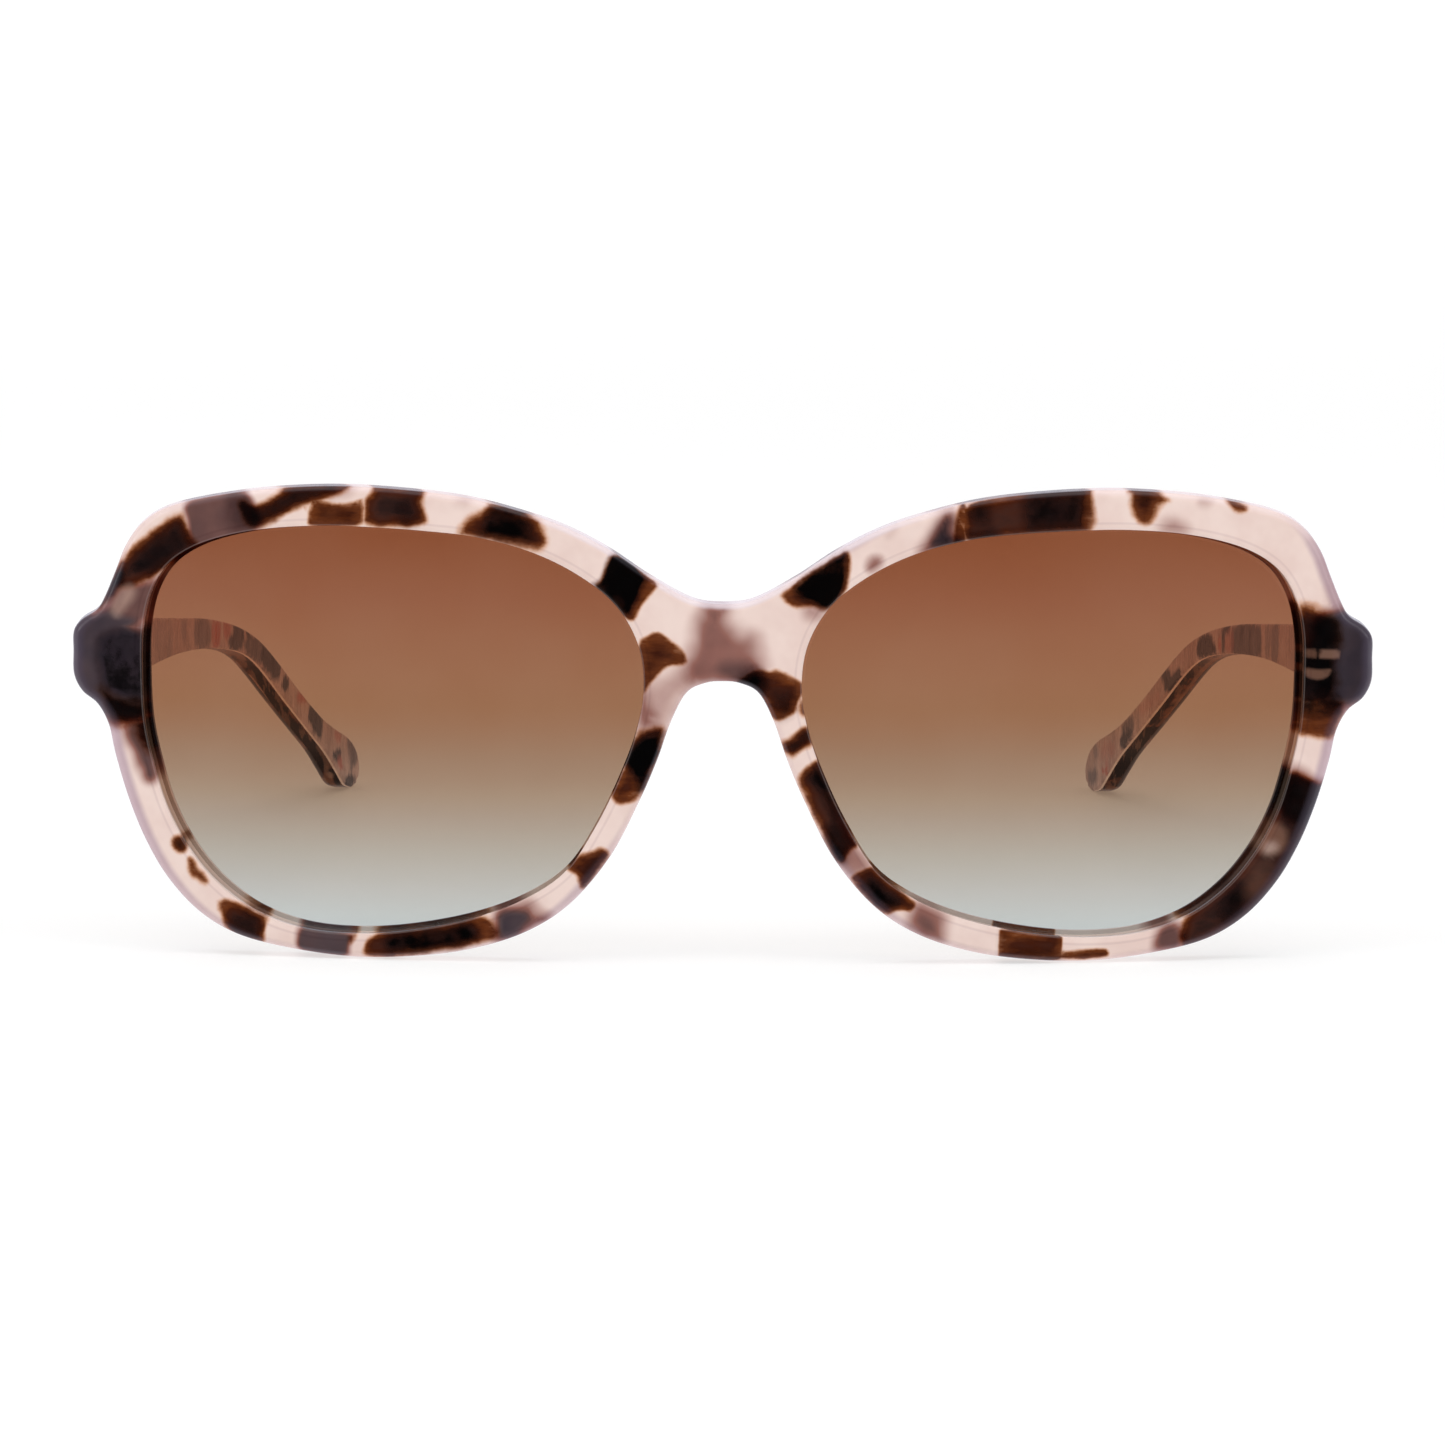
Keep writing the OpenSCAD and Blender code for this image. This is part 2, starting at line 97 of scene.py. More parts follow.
# Tortoise flakes of the front; corners are x, height from the datum.
FRONT_FLAKES = {
    # amber and brown stain
    "brown": flakes("""
upper outer corner: 0.9 1.5: -66.8,17.3 -65.2,18.7 -62.6,20.8 -61.1,22.1 -60,22.4 -59.7,21.3
-59,19.7 -58,18.8 -60.4,16.8 -62.4,15.6 -63.5,14.9 -64.7,14.4 -66,13.7 -67.2,14.1 -67.8,13
-68.7,11.8 -69.6,10.9 -70.1,11.3 -69,13 -67.8,15.5;
band under the brow: 0.9 1.5: -53.9,24 -52.3,23.5 -51,23.7 -49.5,24.7 -48.1,25.7 -40.9,26.1
-41.7,25 -43.9,24.2 -46.2,23.6 -48.1,22.8 -50.1,21.7 -51.6,20.8 -53.2,21.2;
amber block of the brow: 0.15 1: -45.8,23.2 -45.3,23.9 -44.3,23.9 -43.4,23.7 -41.1,23.9 -40,24.4
-39.9,22.9 -40,21.3 -46,20.9 -46,22.5;
brown block of the brow: 0.85 1.3: -38.7,26 -32.7,25.9 -33.3,24.3 -32.9,23 -32.5,21.6 -36.1,21.3
-39.8,21.5 -39.7,22.9 -39.8,24.2 -38.9,25.1;
inner brow blot: 0.35 2.2: -29.3,20.4 -28.7,21.7 -27.8,22.8 -26.7,23.5 -25.6,24.2 -22.8,23.7
-21.2,23 -20.1,22.1 -19.4,20.7 -19.4,19.4 -20.6,18.7 -24.5,19.5 -28.7,20.4;
black flake beside the bridge: 0.3 1: -12.2,19.1 -9,16.6 -6.9,15.2 -7.7,14.6 -8.6,13.7 -9.5,11.9
-10.1,11 -11.7,12.1 -14.3,15 -13.5,15.7 -13,17.2;
amber blot, nose side: 0.08 1: -9.4,9 -8.4,9.5 -7.3,10.1 -6.4,9.6 -5.3,8.7 -4.3,7.8 -4,6.6
-4.9,6.3 -6,6.3 -7.3,5.1 -8.2,4.2 -8.8,3 -9.7,3.3;
nose side, long: 1 2: -9.9,-1 -6,0 -6.8,-3.4 -8.6,-8.1 -10.1,-7.6 -11.7,-5.4;
its amber foot: 0.3 1.2: -11,-4.9 -9.5,-5.4 -8.8,-6.5 -9,-8.3 -10.4,-9.1 -11.5,-9.4 -12.6,-8.1
-11.9,-6.5;
lower nose side: 0.8 1.2: -17.2,-15.9 -15.7,-15 -14.3,-14.6 -13.5,-14.1 -12.4,-14.6 -12.8,-15.7
-14.3,-17.7 -15.6,-19 -16.1,-17.3 -17.3,-16.6;
bottom, long dark: 0.75 1.3: -39.8,-26.9 -39.6,-25.1 -38.7,-24.2 -35.6,-23.5 -31.1,-22.9
-27.8,-22.1 -26.1,-21.8 -25.2,-23 -24.5,-24.1 -27.8,-25.4 -32.3,-26.2 -36.1,-26.9;
its red streak: 0.35 3: -35.1,-23.9 -32.9,-23.6 -33.1,-26 -34.7,-26.1;
its amber end: 0.05 2: -27.4,-22.2 -25.8,-21.9 -24.9,-23.2 -24.7,-24.2 -26.3,-24.6 -27.4,-23.9;
amber speck: 0.1 1.5: -41.5,-24.5 -40.5,-24.1 -40.8,-25 -41.4,-25.5;
bottom outer: 0.8 1.3: -55.9,-20.8 -55,-20.7 -53.4,-21.4 -51.6,-22.1 -50.3,-22.5 -51,-24.1
-51,-25.9 -53.4,-25.5 -55.8,-24;
its amber corner: 0.1 1.5: -56,-20.8 -54.1,-20.9 -54.8,-22.2 -56,-22.4;
amber speck low: 0.05 1.4: -59.4,-16.2 -58.9,-16.5 -58.1,-17.5 -57,-18.8 -57.5,-19.4 -58.4,-18.9
-59.5,-18.3 -59.7,-17.4;
dark speck low: 0.4 1.2: -61.5,-14.4 -60.8,-13.8 -59.9,-13.9 -59.5,-15 -60,-15.8 -61.1,-15.7;
end piece foot: 0.75 3: -69.6,2.8 -67.2,1.6 -64.7,0.8 -62.9,0.4 -62.9,-1.2 -65.8,-1.5 -68.5,-1.2
-69.4,0.6;
below the end piece: 0.6 3: -65.8,-1.1 -63.3,-0.5 -62.9,-4.6 -63.9,-4.8 -64.9,-3.8;
black flake beside the bridge: 0.2 1.2: 6.1,14.3 8.6,16 13.6,19.5 14.1,18.5 13.9,15.8 13.7,14.5
11.7,12.3 9.7,13.2 8.2,12.5 6.8,13.4;
brow: 0.72 1: 26.3,24.4 30.7,25.1 36.3,26.2 40.7,26.4 40.6,24.6 40.4,23.3 40.5,21.9 40.3,20.8
34,20.7 26.5,19.5;
its amber start: 0.1 1.2: 26.2,24.5 26.8,24.6 26.6,22.5 26.9,19.8 25.5,19.4 25.3,21.4 25.7,22.5;
its amber end: 0.1 1.8: 39.9,26.5 40.8,26.5 40.6,24.1 40.9,22.4 40.7,21.1 39.7,21.1;
brow amber flake: 0.25 1.8: 44.8,26 48.5,25.9 48.7,25.1 49.6,24.5 48.5,24.1 47.8,23.4 47.2,22.2
46.3,22 45.3,22.9 44.8,23.9 45.2,24.8;
brow speck: 0.3 1.4: 55.3,24.8 57,24.4 58.3,23.7 57.9,23.1 56.9,23.1 56.1,23.8;
end piece middle: 1 3: 63.5,9.6 66.7,9.3 68.1,7.4 68.3,3 67.2,1.4 63.5,1.3;
end piece head: 0.35 3: 63.5,13.1 65.3,12.8 66.5,11.7 68.7,11 68.7,7.4 63.5,7.5;
end piece foot: 0 2: 63.5,1.9 68.7,1.8 69.4,1.5 68.5,-2.2 66.5,-2.3 63.5,-1.9;
lower outer rim: 0.85 1.5: 62.9,-6.1 64.9,-6.2 66.7,-7.5 67.8,-8.2 66.5,-12 64.7,-15.7 62.4,-19.4
60.2,-21.9 57.4,-24.1 53,-25.6 51.4,-25.8 51.2,-24 51.6,-22.4 53,-20.7 55.4,-18.5 57.7,-16.3
59.5,-14.1 60.6,-12.1 61.5,-9.2;
bottom block: 0.3 0.6: 30.9,-23.1 31.4,-23.2 36.3,-23.7 37.6,-23.7 37.9,-23.8 37.9,-24.2
37.9,-25.7 37.8,-26.6 37.5,-26.8 35.1,-26.9 31.4,-26.7 30.9,-26.5 30.8,-26.1 30.8,-23.5;
strip along the edge: 0.7 0.8: 37.6,-25.8 42.7,-25.5 43.1,-25.8 43,-26.5 37.6,-26.8;
nose side foot: 0.85 0.9: 14.8,-16.9 15.9,-16.4 17,-16.1 18.3,-17.5 20.3,-19.1 21.6,-20.3
21,-21.2 20.1,-21 19.2,-21 18.3,-21.8 16.1,-20 14.1,-17.5;
nose side: 0.9 1.2: 8.3,-6.2 9.3,-4.9 10.4,-4 11.2,-4.6 13,-8.7 14.3,-11.5 15.2,-13.8 14.1,-14.2
13.2,-16 11.5,-13.5 9.3,-9.2;
nose side band: 0.9 1.5: 6.3,-2.4 7.7,-1.7 9.5,-0.3 10.4,-1.6 9.9,-2.6 8.6,-3.1 7.9,-3.9 6.8,-3.5;
bridge foot: 0.32 1: 3.9,6 5.3,5.7 5.8,6 7.1,5.4 8.6,4.6 9.5,4 8.4,2.7 8,1.1 7.3,0.6 5.7,0.1
4.6,1.1 4,2.5 2.6,3.6 1.3,4 2.2,5.1;
amber speck at the lens: 0 1.5: 8.4,2 9,2.8 9.9,1.1 8.8,0.5"""),
    # its black core
    "dark": flakes("""
upper outer corner: 0.8 2.4: -65.6,17.3 -63.5,19.1 -61.3,21 -60.3,21.7 -59.8,20.4 -59,19
-61.1,17 -62.6,15.6 -64.7,15.5 -66.3,15.7;
toward the end piece: 1 2: -67.4,16.1 -66.3,15.7 -66.9,14.4 -68.1,12.8 -69.2,11.6 -69.6,12
-68.5,13.9;
band under the brow: 0.85 2.5: -53,23 -51,23.1 -48.9,24.3 -46.7,25.6 -43.4,25.9 -43.1,25.2
-46.2,24.2 -48.4,23.2 -50.5,21.8 -52.1,21.1;
veil into band: 0.7 4: -54.3,23.9 -52.8,23.7 -52.5,21 -53.9,20.5 -54.8,22.1;
brown block: 0.55 3.5: -36.3,24 -34.3,25 -33.6,23.6 -33.8,21.6 -35.6,21.4 -36.5,22.9;
amber block heart: 0.4 3: -44.7,23.2 -41.1,23.3 -40.9,22.2 -44.9,22;
inner brow: 1 2.5: -26.9,21.1 -26.5,22.4 -25.6,24.1 -22.3,23.4 -21.6,22.3 -21,20.7 -20.7,19.5
-24.5,20 -27.2,20.5;
beside the bridge: 1.15 1.5: -12.2,19.2 -8.2,16.1 -9,14.8 -9.7,13.5 -10.4,11.5 -11.9,12.4
-14.8,15 -13.5,15.7 -13,17.2;
amber blot heart: 0.45 4: -8.4,7.3 -6.4,8 -5.5,7.4 -7.1,6.4 -8.2,5.5;
nose side, long: 1.15 2.5: -9.7,-1.9 -7.9,-1.2 -6,-0.9 -6.8,-3.4 -8.6,-7.6 -9.3,-8.1 -9.7,-6.3
-11,-4.8 -10.6,-3.2;
lower nose side: 0.8 2.5: -15,-16.1 -13.7,-15 -12.8,-15 -14.1,-17.2 -15.2,-18.6 -15.7,-17.3;
bottom, long: 1 2.5: -37.4,-25.9 -37.6,-24.8 -36,-24.1 -32.3,-23.6 -28.3,-22.6 -27.2,-23.5
-26.9,-24.8 -30,-25.7 -35.6,-26.6;
bottom outer: 0.7 3: -54.8,-22.9 -52.8,-22.1 -51.4,-22.7 -51.6,-25 -53.4,-25 -55.2,-24;
dark speck: 0.9 1.6: -61.1,-14.5 -59.9,-14.1 -59.8,-15.4 -60.8,-15.3;
end piece core: 0.95 2.8: -69.8,8.2 -67.8,9.1 -63.3,9.8 -62.9,0.6 -65.3,0.5 -67.8,1.6 -69.2,2.8
-69.6,5.3;
end piece core, foot: 0.5 3.5: -68.7,1.7 -64.7,1.7 -62.9,0.6 -64.7,-0.6 -67.2,0.2;
beside the bridge: 1.15 1.7: 7.7,15.1 13.5,19.4 13.7,18 13.5,14.9 11.7,12.3 9.9,13.4 8.6,13.6
7.7,14.3;
brow mauve core: 0.9 3: 23,18.7 23,20.7 23.6,22.3 24.9,22.9 25.3,21.4 25.9,19.6;
brow 1: 0.85 3: 27.2,24.3 28.9,24.8 29.4,23.4 29.2,22 27.4,22;
brow 2: 0.9 3.5: 33.6,25.8 40,26.3 40,21.1 34,20.9 33.1,23.3;
brow 3: 0.8 3: 26.7,21.1 28.9,21.5 30.7,20.7 26.9,19.6;
brow amber heart: 0.8 3.5: 45.6,25.8 47.6,25.7 47.6,24.6 46.5,23.7 45.6,24.6;
end piece core: 0.9 3: 63.5,11.6 66.3,10.8 67.6,9.9 68.3,7.4 68.3,3 69.3,1.8 68.5,0 63.5,-0.1;
end piece outer: 0.28 4: 69,10.6 72.1,11.2 72.6,1.3 69.2,1.6;
rim outer band: 1 3: 64.4,-14.9 66,-11.3 67.4,-8.7 66.3,-9.3 64.2,-12.9 63.1,-16.2 60.8,-19.9
57.2,-23.4 60.2,-22.2 62.8,-19;
rim core: 0.9 3: 55.4,-20.9 57,-18.7 58.4,-18.3 58.8,-20.3 57.9,-22.1 55.8,-23;
rim head: 0.5 4: 62.4,-6.8 64.2,-7 64.2,-9.3 62.4,-9.9;
block edge, bottom: 0.6 3: 31,-25.6 37.8,-26 37.8,-27 31,-26.7;
block edge, side: 0.5 2.5: 31,-23.2 31.7,-23.3 31.7,-26.5 31,-26.5;
nose side foot: 1 2.5: 15.4,-17.8 17,-17.5 18.8,-19.3 20.1,-20.1 18.5,-21 16.5,-20;
nose side 1: 1 2.5: 9.3,-5.7 10.6,-4.6 11.7,-6.4 13,-9.3 12.4,-11.1 11.2,-8.6 10.1,-7.1;
nose side 2: 1 3: 11.5,-11.1 12.8,-12 13.7,-15.1 13,-15.8 11.2,-13.1;
band: 0.8 2: 7.1,-2.5 7.9,-2.1 9.5,-1 9.8,-1.7 8.6,-2.7 7.8,-3.4;
bridge foot 1: 0.8 3.5: 5.3,3.6 7.5,3.6 7.8,2 7.1,0.8 6,0.8;
bridge foot 2: 1 3: 2.2,5.3 3.5,6.1 5.1,4.7 4.6,2.9 3.1,3.6 2,4"""),
    # thin mauve film; its outer edge entry is painted shade, a mauve-grey strip along the outer edge
    "veil": flakes("""
brow film: 0.75 1.4: -60,23.5 -57.4,24.3 -53.4,25.1 -51.9,23.9 -51,21.7 -52.1,20.1 -57.4,18.3
-59,18.4 -59.5,21.3;
brow strip end: 0.55 3: -43.4,25.9 -40.9,26 -41.8,24.8 -43.8,24.4;
above the end piece: 0.72 3: -66.3,13.9 -63.5,15.1 -62.2,15.4 -63.1,12.5 -63.5,9.3 -69.2,7.6
-72.6,6.5 -73.3,9.9 -71,10.9 -68.7,12.1 -67.2,13.7;
end piece: 0.93 3: -74,0.7 -74.2,11 -70.3,11.6 -63.1,9.5 -62.9,-0.5 -69.2,-1.9;
below the end piece: 0.78 2.5: -66.7,-1.1 -63.5,-0.3 -62.6,-3.8 -62.9,-7.5 -64.2,-8 -65.3,-6.2
-66.3,-3.9;
bottom: 0.86 1.4: -47.2,-23.3 -44.5,-23.6 -41.1,-24.2 -40.9,-24.7 -41.5,-25.5 -41.6,-27
-44.5,-26.9 -47.6,-26.4;
bottom, middle: 0.95 3: -25.2,-21.6 -23.2,-20.7 -21.2,-20.5 -20.3,-21.7 -19,-22.2 -22.3,-23.8
-24.5,-24.7 -25.2,-23.4;
nose side, pale film: 0.36 4: -7.9,3.5 -6,5.5 -3.5,6.4 -2.2,4.2 -4.4,3.3 -5.7,1.1 -6.2,-0.7
-9.5,-0.3 -9,2.4;
nose side, lens edge: 0.6 3: -9.5,3.3 -8.2,3.5 -7.7,1.1 -6,0 -6.4,-1.4 -9.9,-1.4;
bridge film: 0.6 4: -2,13.1 0.8,13.1 0.4,11.3 1.8,10.2 3.3,9.1 3.9,7.6 4.6,6 3.1,4.2 -2.4,4
-4,4.6 -4,6.4 -3.5,8 -2.9,10 -2.4,11.5;
bridge film, head: 0.7 2.5: -1.8,12.9 0.7,12.9 0.2,11.8 -1.5,11.6;
bridge film, foot: 0.78 4: -0.7,6.7 3.3,6.9 4.9,4.2 2,3.8 -0.2,4.2;
faint, brow: 0.22 2.5: -29.6,24.4 -27.8,24.7 -28.5,23.7;
under the flake: 0.4 3: 8.6,13.1 11.5,12.9 10.6,11.6 9,12;
speck, brow: 0.62 2: 15.7,17.2 16.5,18.3 17.4,18.4 17.5,17.6 16.3,16.8;
faint, brow: 0.18 2: 18,20.7 18.8,21.6 19.2,21.6 18.3,20.5;
dusk, brow: 0.9 3: 21.6,18.7 22.7,21.2 23.4,22.5 24.3,23.4 25.2,23.3 25.5,21.4 26.1,19.6 23,18.7;
brow 2: 0.42 3: 48.5,21.2 49.2,22.3 50.3,22.5 51.2,21.2 49.8,20.8;
faint amber: 0.28 2: 52.5,24.3 53.4,24.6 54.3,24.2 53.4,23.9;
outer edge: 0.34 3: 65.3,20.3 67.2,18.2 69,14.1 70.1,11.7 68.7,11.7 67.6,14.2 66.3,17.6;
end piece: 1 3: 65.6,10.9 67.6,11.9 69.4,12.6 73.3,11.1 73.3,1.3 69.3,0.9 67.6,1.6 66,6.4;
rim head: 0.8 2.5: 62.9,-5.9 64.9,-5.9 66.9,-7.4 68.1,-8.3 66.3,-12 63.8,-12.6 61.5,-9.9;
bottom: 0.7 2.5: 48.1,-25.7 48.3,-23.2 50.5,-22.3 51.4,-24.2 51.2,-26;
nose side foot: 0.7 3.2: 21.6,-20.5 23.2,-20.7 24.5,-21.8 24.9,-24.9 21.8,-24 20.7,-22.2;
nose side gap: 0.5 3: 13.5,-13.1 15.2,-14 16.5,-16.2 14.8,-17.3 12.8,-15.8;
nose side edge: 0.6 3: 12.8,-9.3 13.9,-10.9 15.4,-14.2 13.7,-14.2 12.6,-11.5"""),
    # light spots
    "pale": flakes("""
light streak above the end piece: 0.56 3: -68.1,11 -67.7,12.1 -66.9,13.2 -66,14.1 -65.5,13.7
-65.8,12.7 -66.6,11.6 -67.4,10.5;
light ball in the rim: 0.36 2.2: 60.2,-13.4 60.8,-12.1 62,-11.7 63.1,-12.6 63.1,-14 62.2,-15.1
60.8,-15.5 59.9,-14.8;
its bright spot: 0.62 2.6: 60.3,-14.6 60.8,-13.8 61.9,-13.9 62.1,-14.7 61.4,-15.3 60.5,-15.3;
brown glow in the rim: 0.14 5: 58.4,-18.5 59.3,-16.8 60.8,-16.8 61.1,-18.6 59.7,-19.9 58.6,-19.9;
hinge leg through the acetate, upper: 0.4 0.8: 66.4,7.6 66.6,7.6 68.5,7.5 68.7,7.5 68.7,7.3
68.7,6.8 68.7,6.5 68.5,6.5 66.6,6.6 66.4,6.6 66.4,6.8 66.4,7.4;
hinge leg, inner: 0.27 0.9: 64.9,7.6 65.1,7.6 65.9,7.6 66.1,7.6 66.1,6.7 65.9,6.7 65.1,6.8
64.9,6.8;
hinge leg, lower: 0.36 0.9: 64.9,5.5 65.1,5.5 66.5,5.3 67.8,5.4 67.9,5.2 67.4,4.5 66.4,4.2
65.3,4.5 64.9,4.8"""),
}
# Brush dabs of the print on the temples' inner faces, by side; corners are y, z.
DABS = {
    1: flakes("""
mauve grey stroke: 0.62 1: 53.4,32.1 49.3,32.5 50,27.8 54.1,27.7;
tan stroke: 0.45 1: 57.8,31.4 54.3,31.9 55,27.7 57.6,27.6;
broad grey field: 0.78 1: 76.9,29.2 59.5,31.2 59.8,27.3 68.6,26.4 77.1,25.7;
thin dark stroke: 0.8 0.8: 82.3,28 80.4,28.4 80.7,25.4 81.9,25.3;
blot at the top edge: 0.9 0.8: 82,28.3 77.7,29.1 78.4,28.2 80.8,27.8;
slate dab: 1.1 1: 94.8,25.2 89.9,26.2 86.8,26.1 84.8,24.8 89.8,24.2 94.8,23.1;
ear, grey dab: 0.85 0.9: 112.4,18.9 109.6,19.9 107.8,19.5 108.3,18.2 111.2,18.1;
ear, dark dab: 1.1 0.8: 107.2,19.1 104.3,20.3 101.9,20.6 105.4,18.9 108.9,17.3 111.2,17.5;
ear, second grey dab: 0.7 1: 129.5,10.5 126.8,11.6 124.6,11.7 125.1,10.2 130,9.3;
ear, second dark dab: 1 0.9: 130.5,8.8 126.8,10.2 125.1,10.2 126.7,9 129.4,7.5 131,7.8;
tip, edge: 0.5 0.9: 142.7,5.6 141.1,6.4 140.6,5 142.1,4.7;
tip, grey green stroke: 0.7 1: 144.7,2.2 141,3.1 141,1.6 143.6,0.9"""),
    -1: flakes("""
near the hinge: 0.3 2: 41,33 51.4,32 52.2,27.8 49,27.4 41.4,27.8;
thin grey stroke: 0.42 1: 58.2,31.4 61.6,31 60.8,28.6 58.6,28.8;
broad grey stroke: 0.62 1: 65.6,30.6 74.6,29.6 75,26 66,27;
bend, slate dab: 0.92 1: 87,27.6 92.4,26.6 92.2,24.8 89.4,24 85.2,25 84.2,25.8 87.4,26.2;
bend, thin dark stroke: 0.9 0.8: 93.2,26.2 94.4,26 96,25 96.4,23.8 95.6,23.8 94.4,25;
bend, second dab: 0.75 1: 92.4,24.6 96.6,24.6 100.6,24.4 102.6,23.6 104.4,22.2 102.2,20.8
97.6,22.2 93.6,23.4;
behind the bend: 0.95 1: 100.6,22 102.6,23 106.2,21.8 110.6,20 110,18.8 109,18 106.2,19
102.2,20.8;
dark blot: 1.1 0.8: 111.6,17.8 113.8,17.6 114.4,16.8 113,16.2 111,17;
ear, blue grey dab: 1 1: 123.6,11.6 124.4,12.4 125.6,12.8 128.6,11.4 129.8,9.8 129.2,8.4
127.6,9.2 125.2,10.2;
smudge: 1 0.9: 134.6,5.4 137.2,5.4 138.2,4.8 136,4.6;
tip, grey green stroke: 0.7 1.2: 141,6 142.8,6 144.8,4.2 144.2,2.8 142.4,2.8 142,4.4;
tip end: 1 1: 140.8,1.4 143.4,1.4 144.2,0.8 142.4,0.2 141,0.4 139.6,1.4"""),
}
# its dull red dabs
REDS = {
    1: flakes("""
bend, wash: 0.55 1.4: 80.4,27.7 76.1,28.7 75.6,26.2 80.3,25.5;
bend, stroke: 0.8 1: 84.2,27 82.3,27.2 82.3,25.4 83.8,25.3;
ear, wash: 0.35 2: 123.5,13.1 115.8,16.2 112.3,16 120.2,12.6;
tip wash: 0.35 2: 139.5,6.6 133.2,7.6 133.2,5.8 138.4,4.5;
tip spot: 1.1 0.8: 139,3.7 136.3,4 136.8,3.1 138.4,2.9"""),
    -1: flakes("""
first stroke at the bend: 0.9 1: 75.6,29.4 80.6,28.6 79.8,25.4 75.6,25.8;
second stroke: 0.8 1: 81.4,28.6 86.2,27.8 85.2,26.2 82.2,26;
ear blot: 0.9 1.2: 119,15.2 121.6,14.8 123.2,13.6 120.4,13.6 118.4,14.4;
toward the tip: 0.65 1.4: 134.8,8.2 137.2,8 138.6,6.8 136,6.8;
tip blot: 1 1: 136.4,4.6 138.2,4.6 139.4,3.2 139.8,2.6 137.6,3.4"""),
}
# Black flakes on the temples' edges; corners are y, EDGE_SHIFT + distance from the inner face.
# The shift keeps them clear of the flakes on the broad faces.
EDGE_SHIFT = 100
UNDER_DARK = {
    1: flakes("""
toward the tip: 1 0.9: 127.7,100.95 122.5,100.73 121.6,100.85 121.6,102.2 122,103.18
125.6,103.33 131.8,103.3 137,103.18 138.3,102.73 137.5,101.72 138.6,100.9 138.1,100.6
132.5,100.59;
strip along the liner: 0.85 0.6: 121.2,100.53 112.8,100.55 105.2,100.61 101.7,100.69 92.7,100.72
94.5,101.33 102.8,101.46 106.6,101.25 114.4,101.43 120.9,101.37;
spot: 0.7 0.8: 118.5,101.58 118,102.82 119.3,103.43 121.6,103.36 122.1,102.32"""),
    -1: flakes("""
strip along the liner: 0.85 0.8: 97.7,100.87 101.7,100.63 105.7,100.68 110.2,100.75 114.9,100.9
119.3,101.08 121.8,101.24 122.9,102.39 119.8,102.32 115.8,102.49 112.2,102.24 108.2,102.36
104.2,101.85 100.6,101.51;
thin outer strip: 0.9 0.6: 108.2,103.49 112.6,103.49 116.9,103.32 121.1,103.12 124.5,102.95
121.8,102.5 118,102.76 114.6,102.96 111.3,103.04 108.1,103.04;
toward the tip: 0.9 0.9: 121.8,102.14 120.9,100.94 128.1,100.56 131.8,100.65 134.9,100.82
137.5,102.21 140.3,102.54 143,101.65 143,103.75 138.8,103.54 135.6,103.18 130.8,102.88
126.3,103.23 123.4,102.98;
end, along the liner: 1 0.6: 134.4,100.81 137,100.65 140,100.79 143,100.66 143,101.65
138.8,101.27 136.3,101.12"""),
}
# light streaks there
UNDER_LIGHT = {
    1: flakes("""
long brown streak: 0.55 0.5: 89.6,102.37 99.6,102.42 106.1,102.78 111.7,102.88 116.7,102.8
116,102.14 111.7,102.1 106.1,102.02 100,101.78 86.8,101.47;
thin streak: 0.45 0.35: 116.4,102.47 119.3,102.64 121.6,102.2 121.2,101.89 118.4,101.97
116,102.14;
tip glow: 0.22 1.2: 137.8,101.25 137.3,102.72 139.1,103.22 139.6,101.98"""),
    -1: flakes("""
streak between the black strips: 0.8 0.35: 103.9,102.19 106.2,102.15 109.5,102.16 113.8,102.35
118,102.38 122.3,102.31 122.5,102.83 118.9,103.13 115.3,103.27 111.1,103.14 107.2,103.09
104.6,102.75;
tip spot: 0.6 0.8: 137.5,101.72 137.1,101.14 138,100.96 139,101.42 138.8,101.86;
beside the bend: 0.35 1.2: 97.7,103.5 98.9,102.61 102.8,102.64 104.2,103.66 101.5,103.95
99.4,104.26"""),
}


# ---------------------------------------------------------------- plane geometry helpers
def spline(knots, per_span, closed=True):
    """Catmull-Rom curve through the knots."""
    p = np.array(knots, float)
    if closed:
        p = np.vstack([p[-1:], p, p[:2]])
    else:
        p = np.vstack([2 * p[:1] - p[1:2], p, 2 * p[-1:] - p[-2:-1]])
    curve = []
    for a, b, c, d in zip(p, p[1:], p[2:], p[3:]):
        for t in np.arange(per_span) / per_span:
            curve.append(0.5 * (2 * b + (c - a) * t + (2 * a - 5 * b + 4 * c - d) * t * t
                                + (3 * b - a - 3 * c + d) * t ** 3))
    if not closed:
        curve.append(p[-2])
    return np.array(curve)


def resample(curve, spacing, closed=True):
    """The curve with its points evenly spaced."""
    path = np.vstack([curve, curve[:1]]) if closed else curve
    run = np.concatenate([[0], np.cumsum(np.linalg.norm(np.diff(path, axis=0), axis=1))])
    n = max(3, int(round(run[-1] / spacing)))
    at = np.linspace(0, run[-1], n + 1)[: n if closed else n + 1]
    return np.column_stack([np.interp(at, run, path[:, 0]), np.interp(at, run, path[:, 1])])


def loop_normals(loop):
    """Unit normals of a closed loop, pointing out of it."""
    along = np.roll(loop, -1, 0) - np.roll(loop, 1, 0)
    normals = np.column_stack([along[:, 1], -along[:, 0]])
    normals /= np.linalg.norm(normals, axis=1)[:, None] + 1e-12
    area = 0.5 * np.sum(loop[:, 0] * np.roll(loop[:, 1], -1) - np.roll(loop[:, 0], -1) * loop[:, 1])
    return normals if area > 0 else -normals


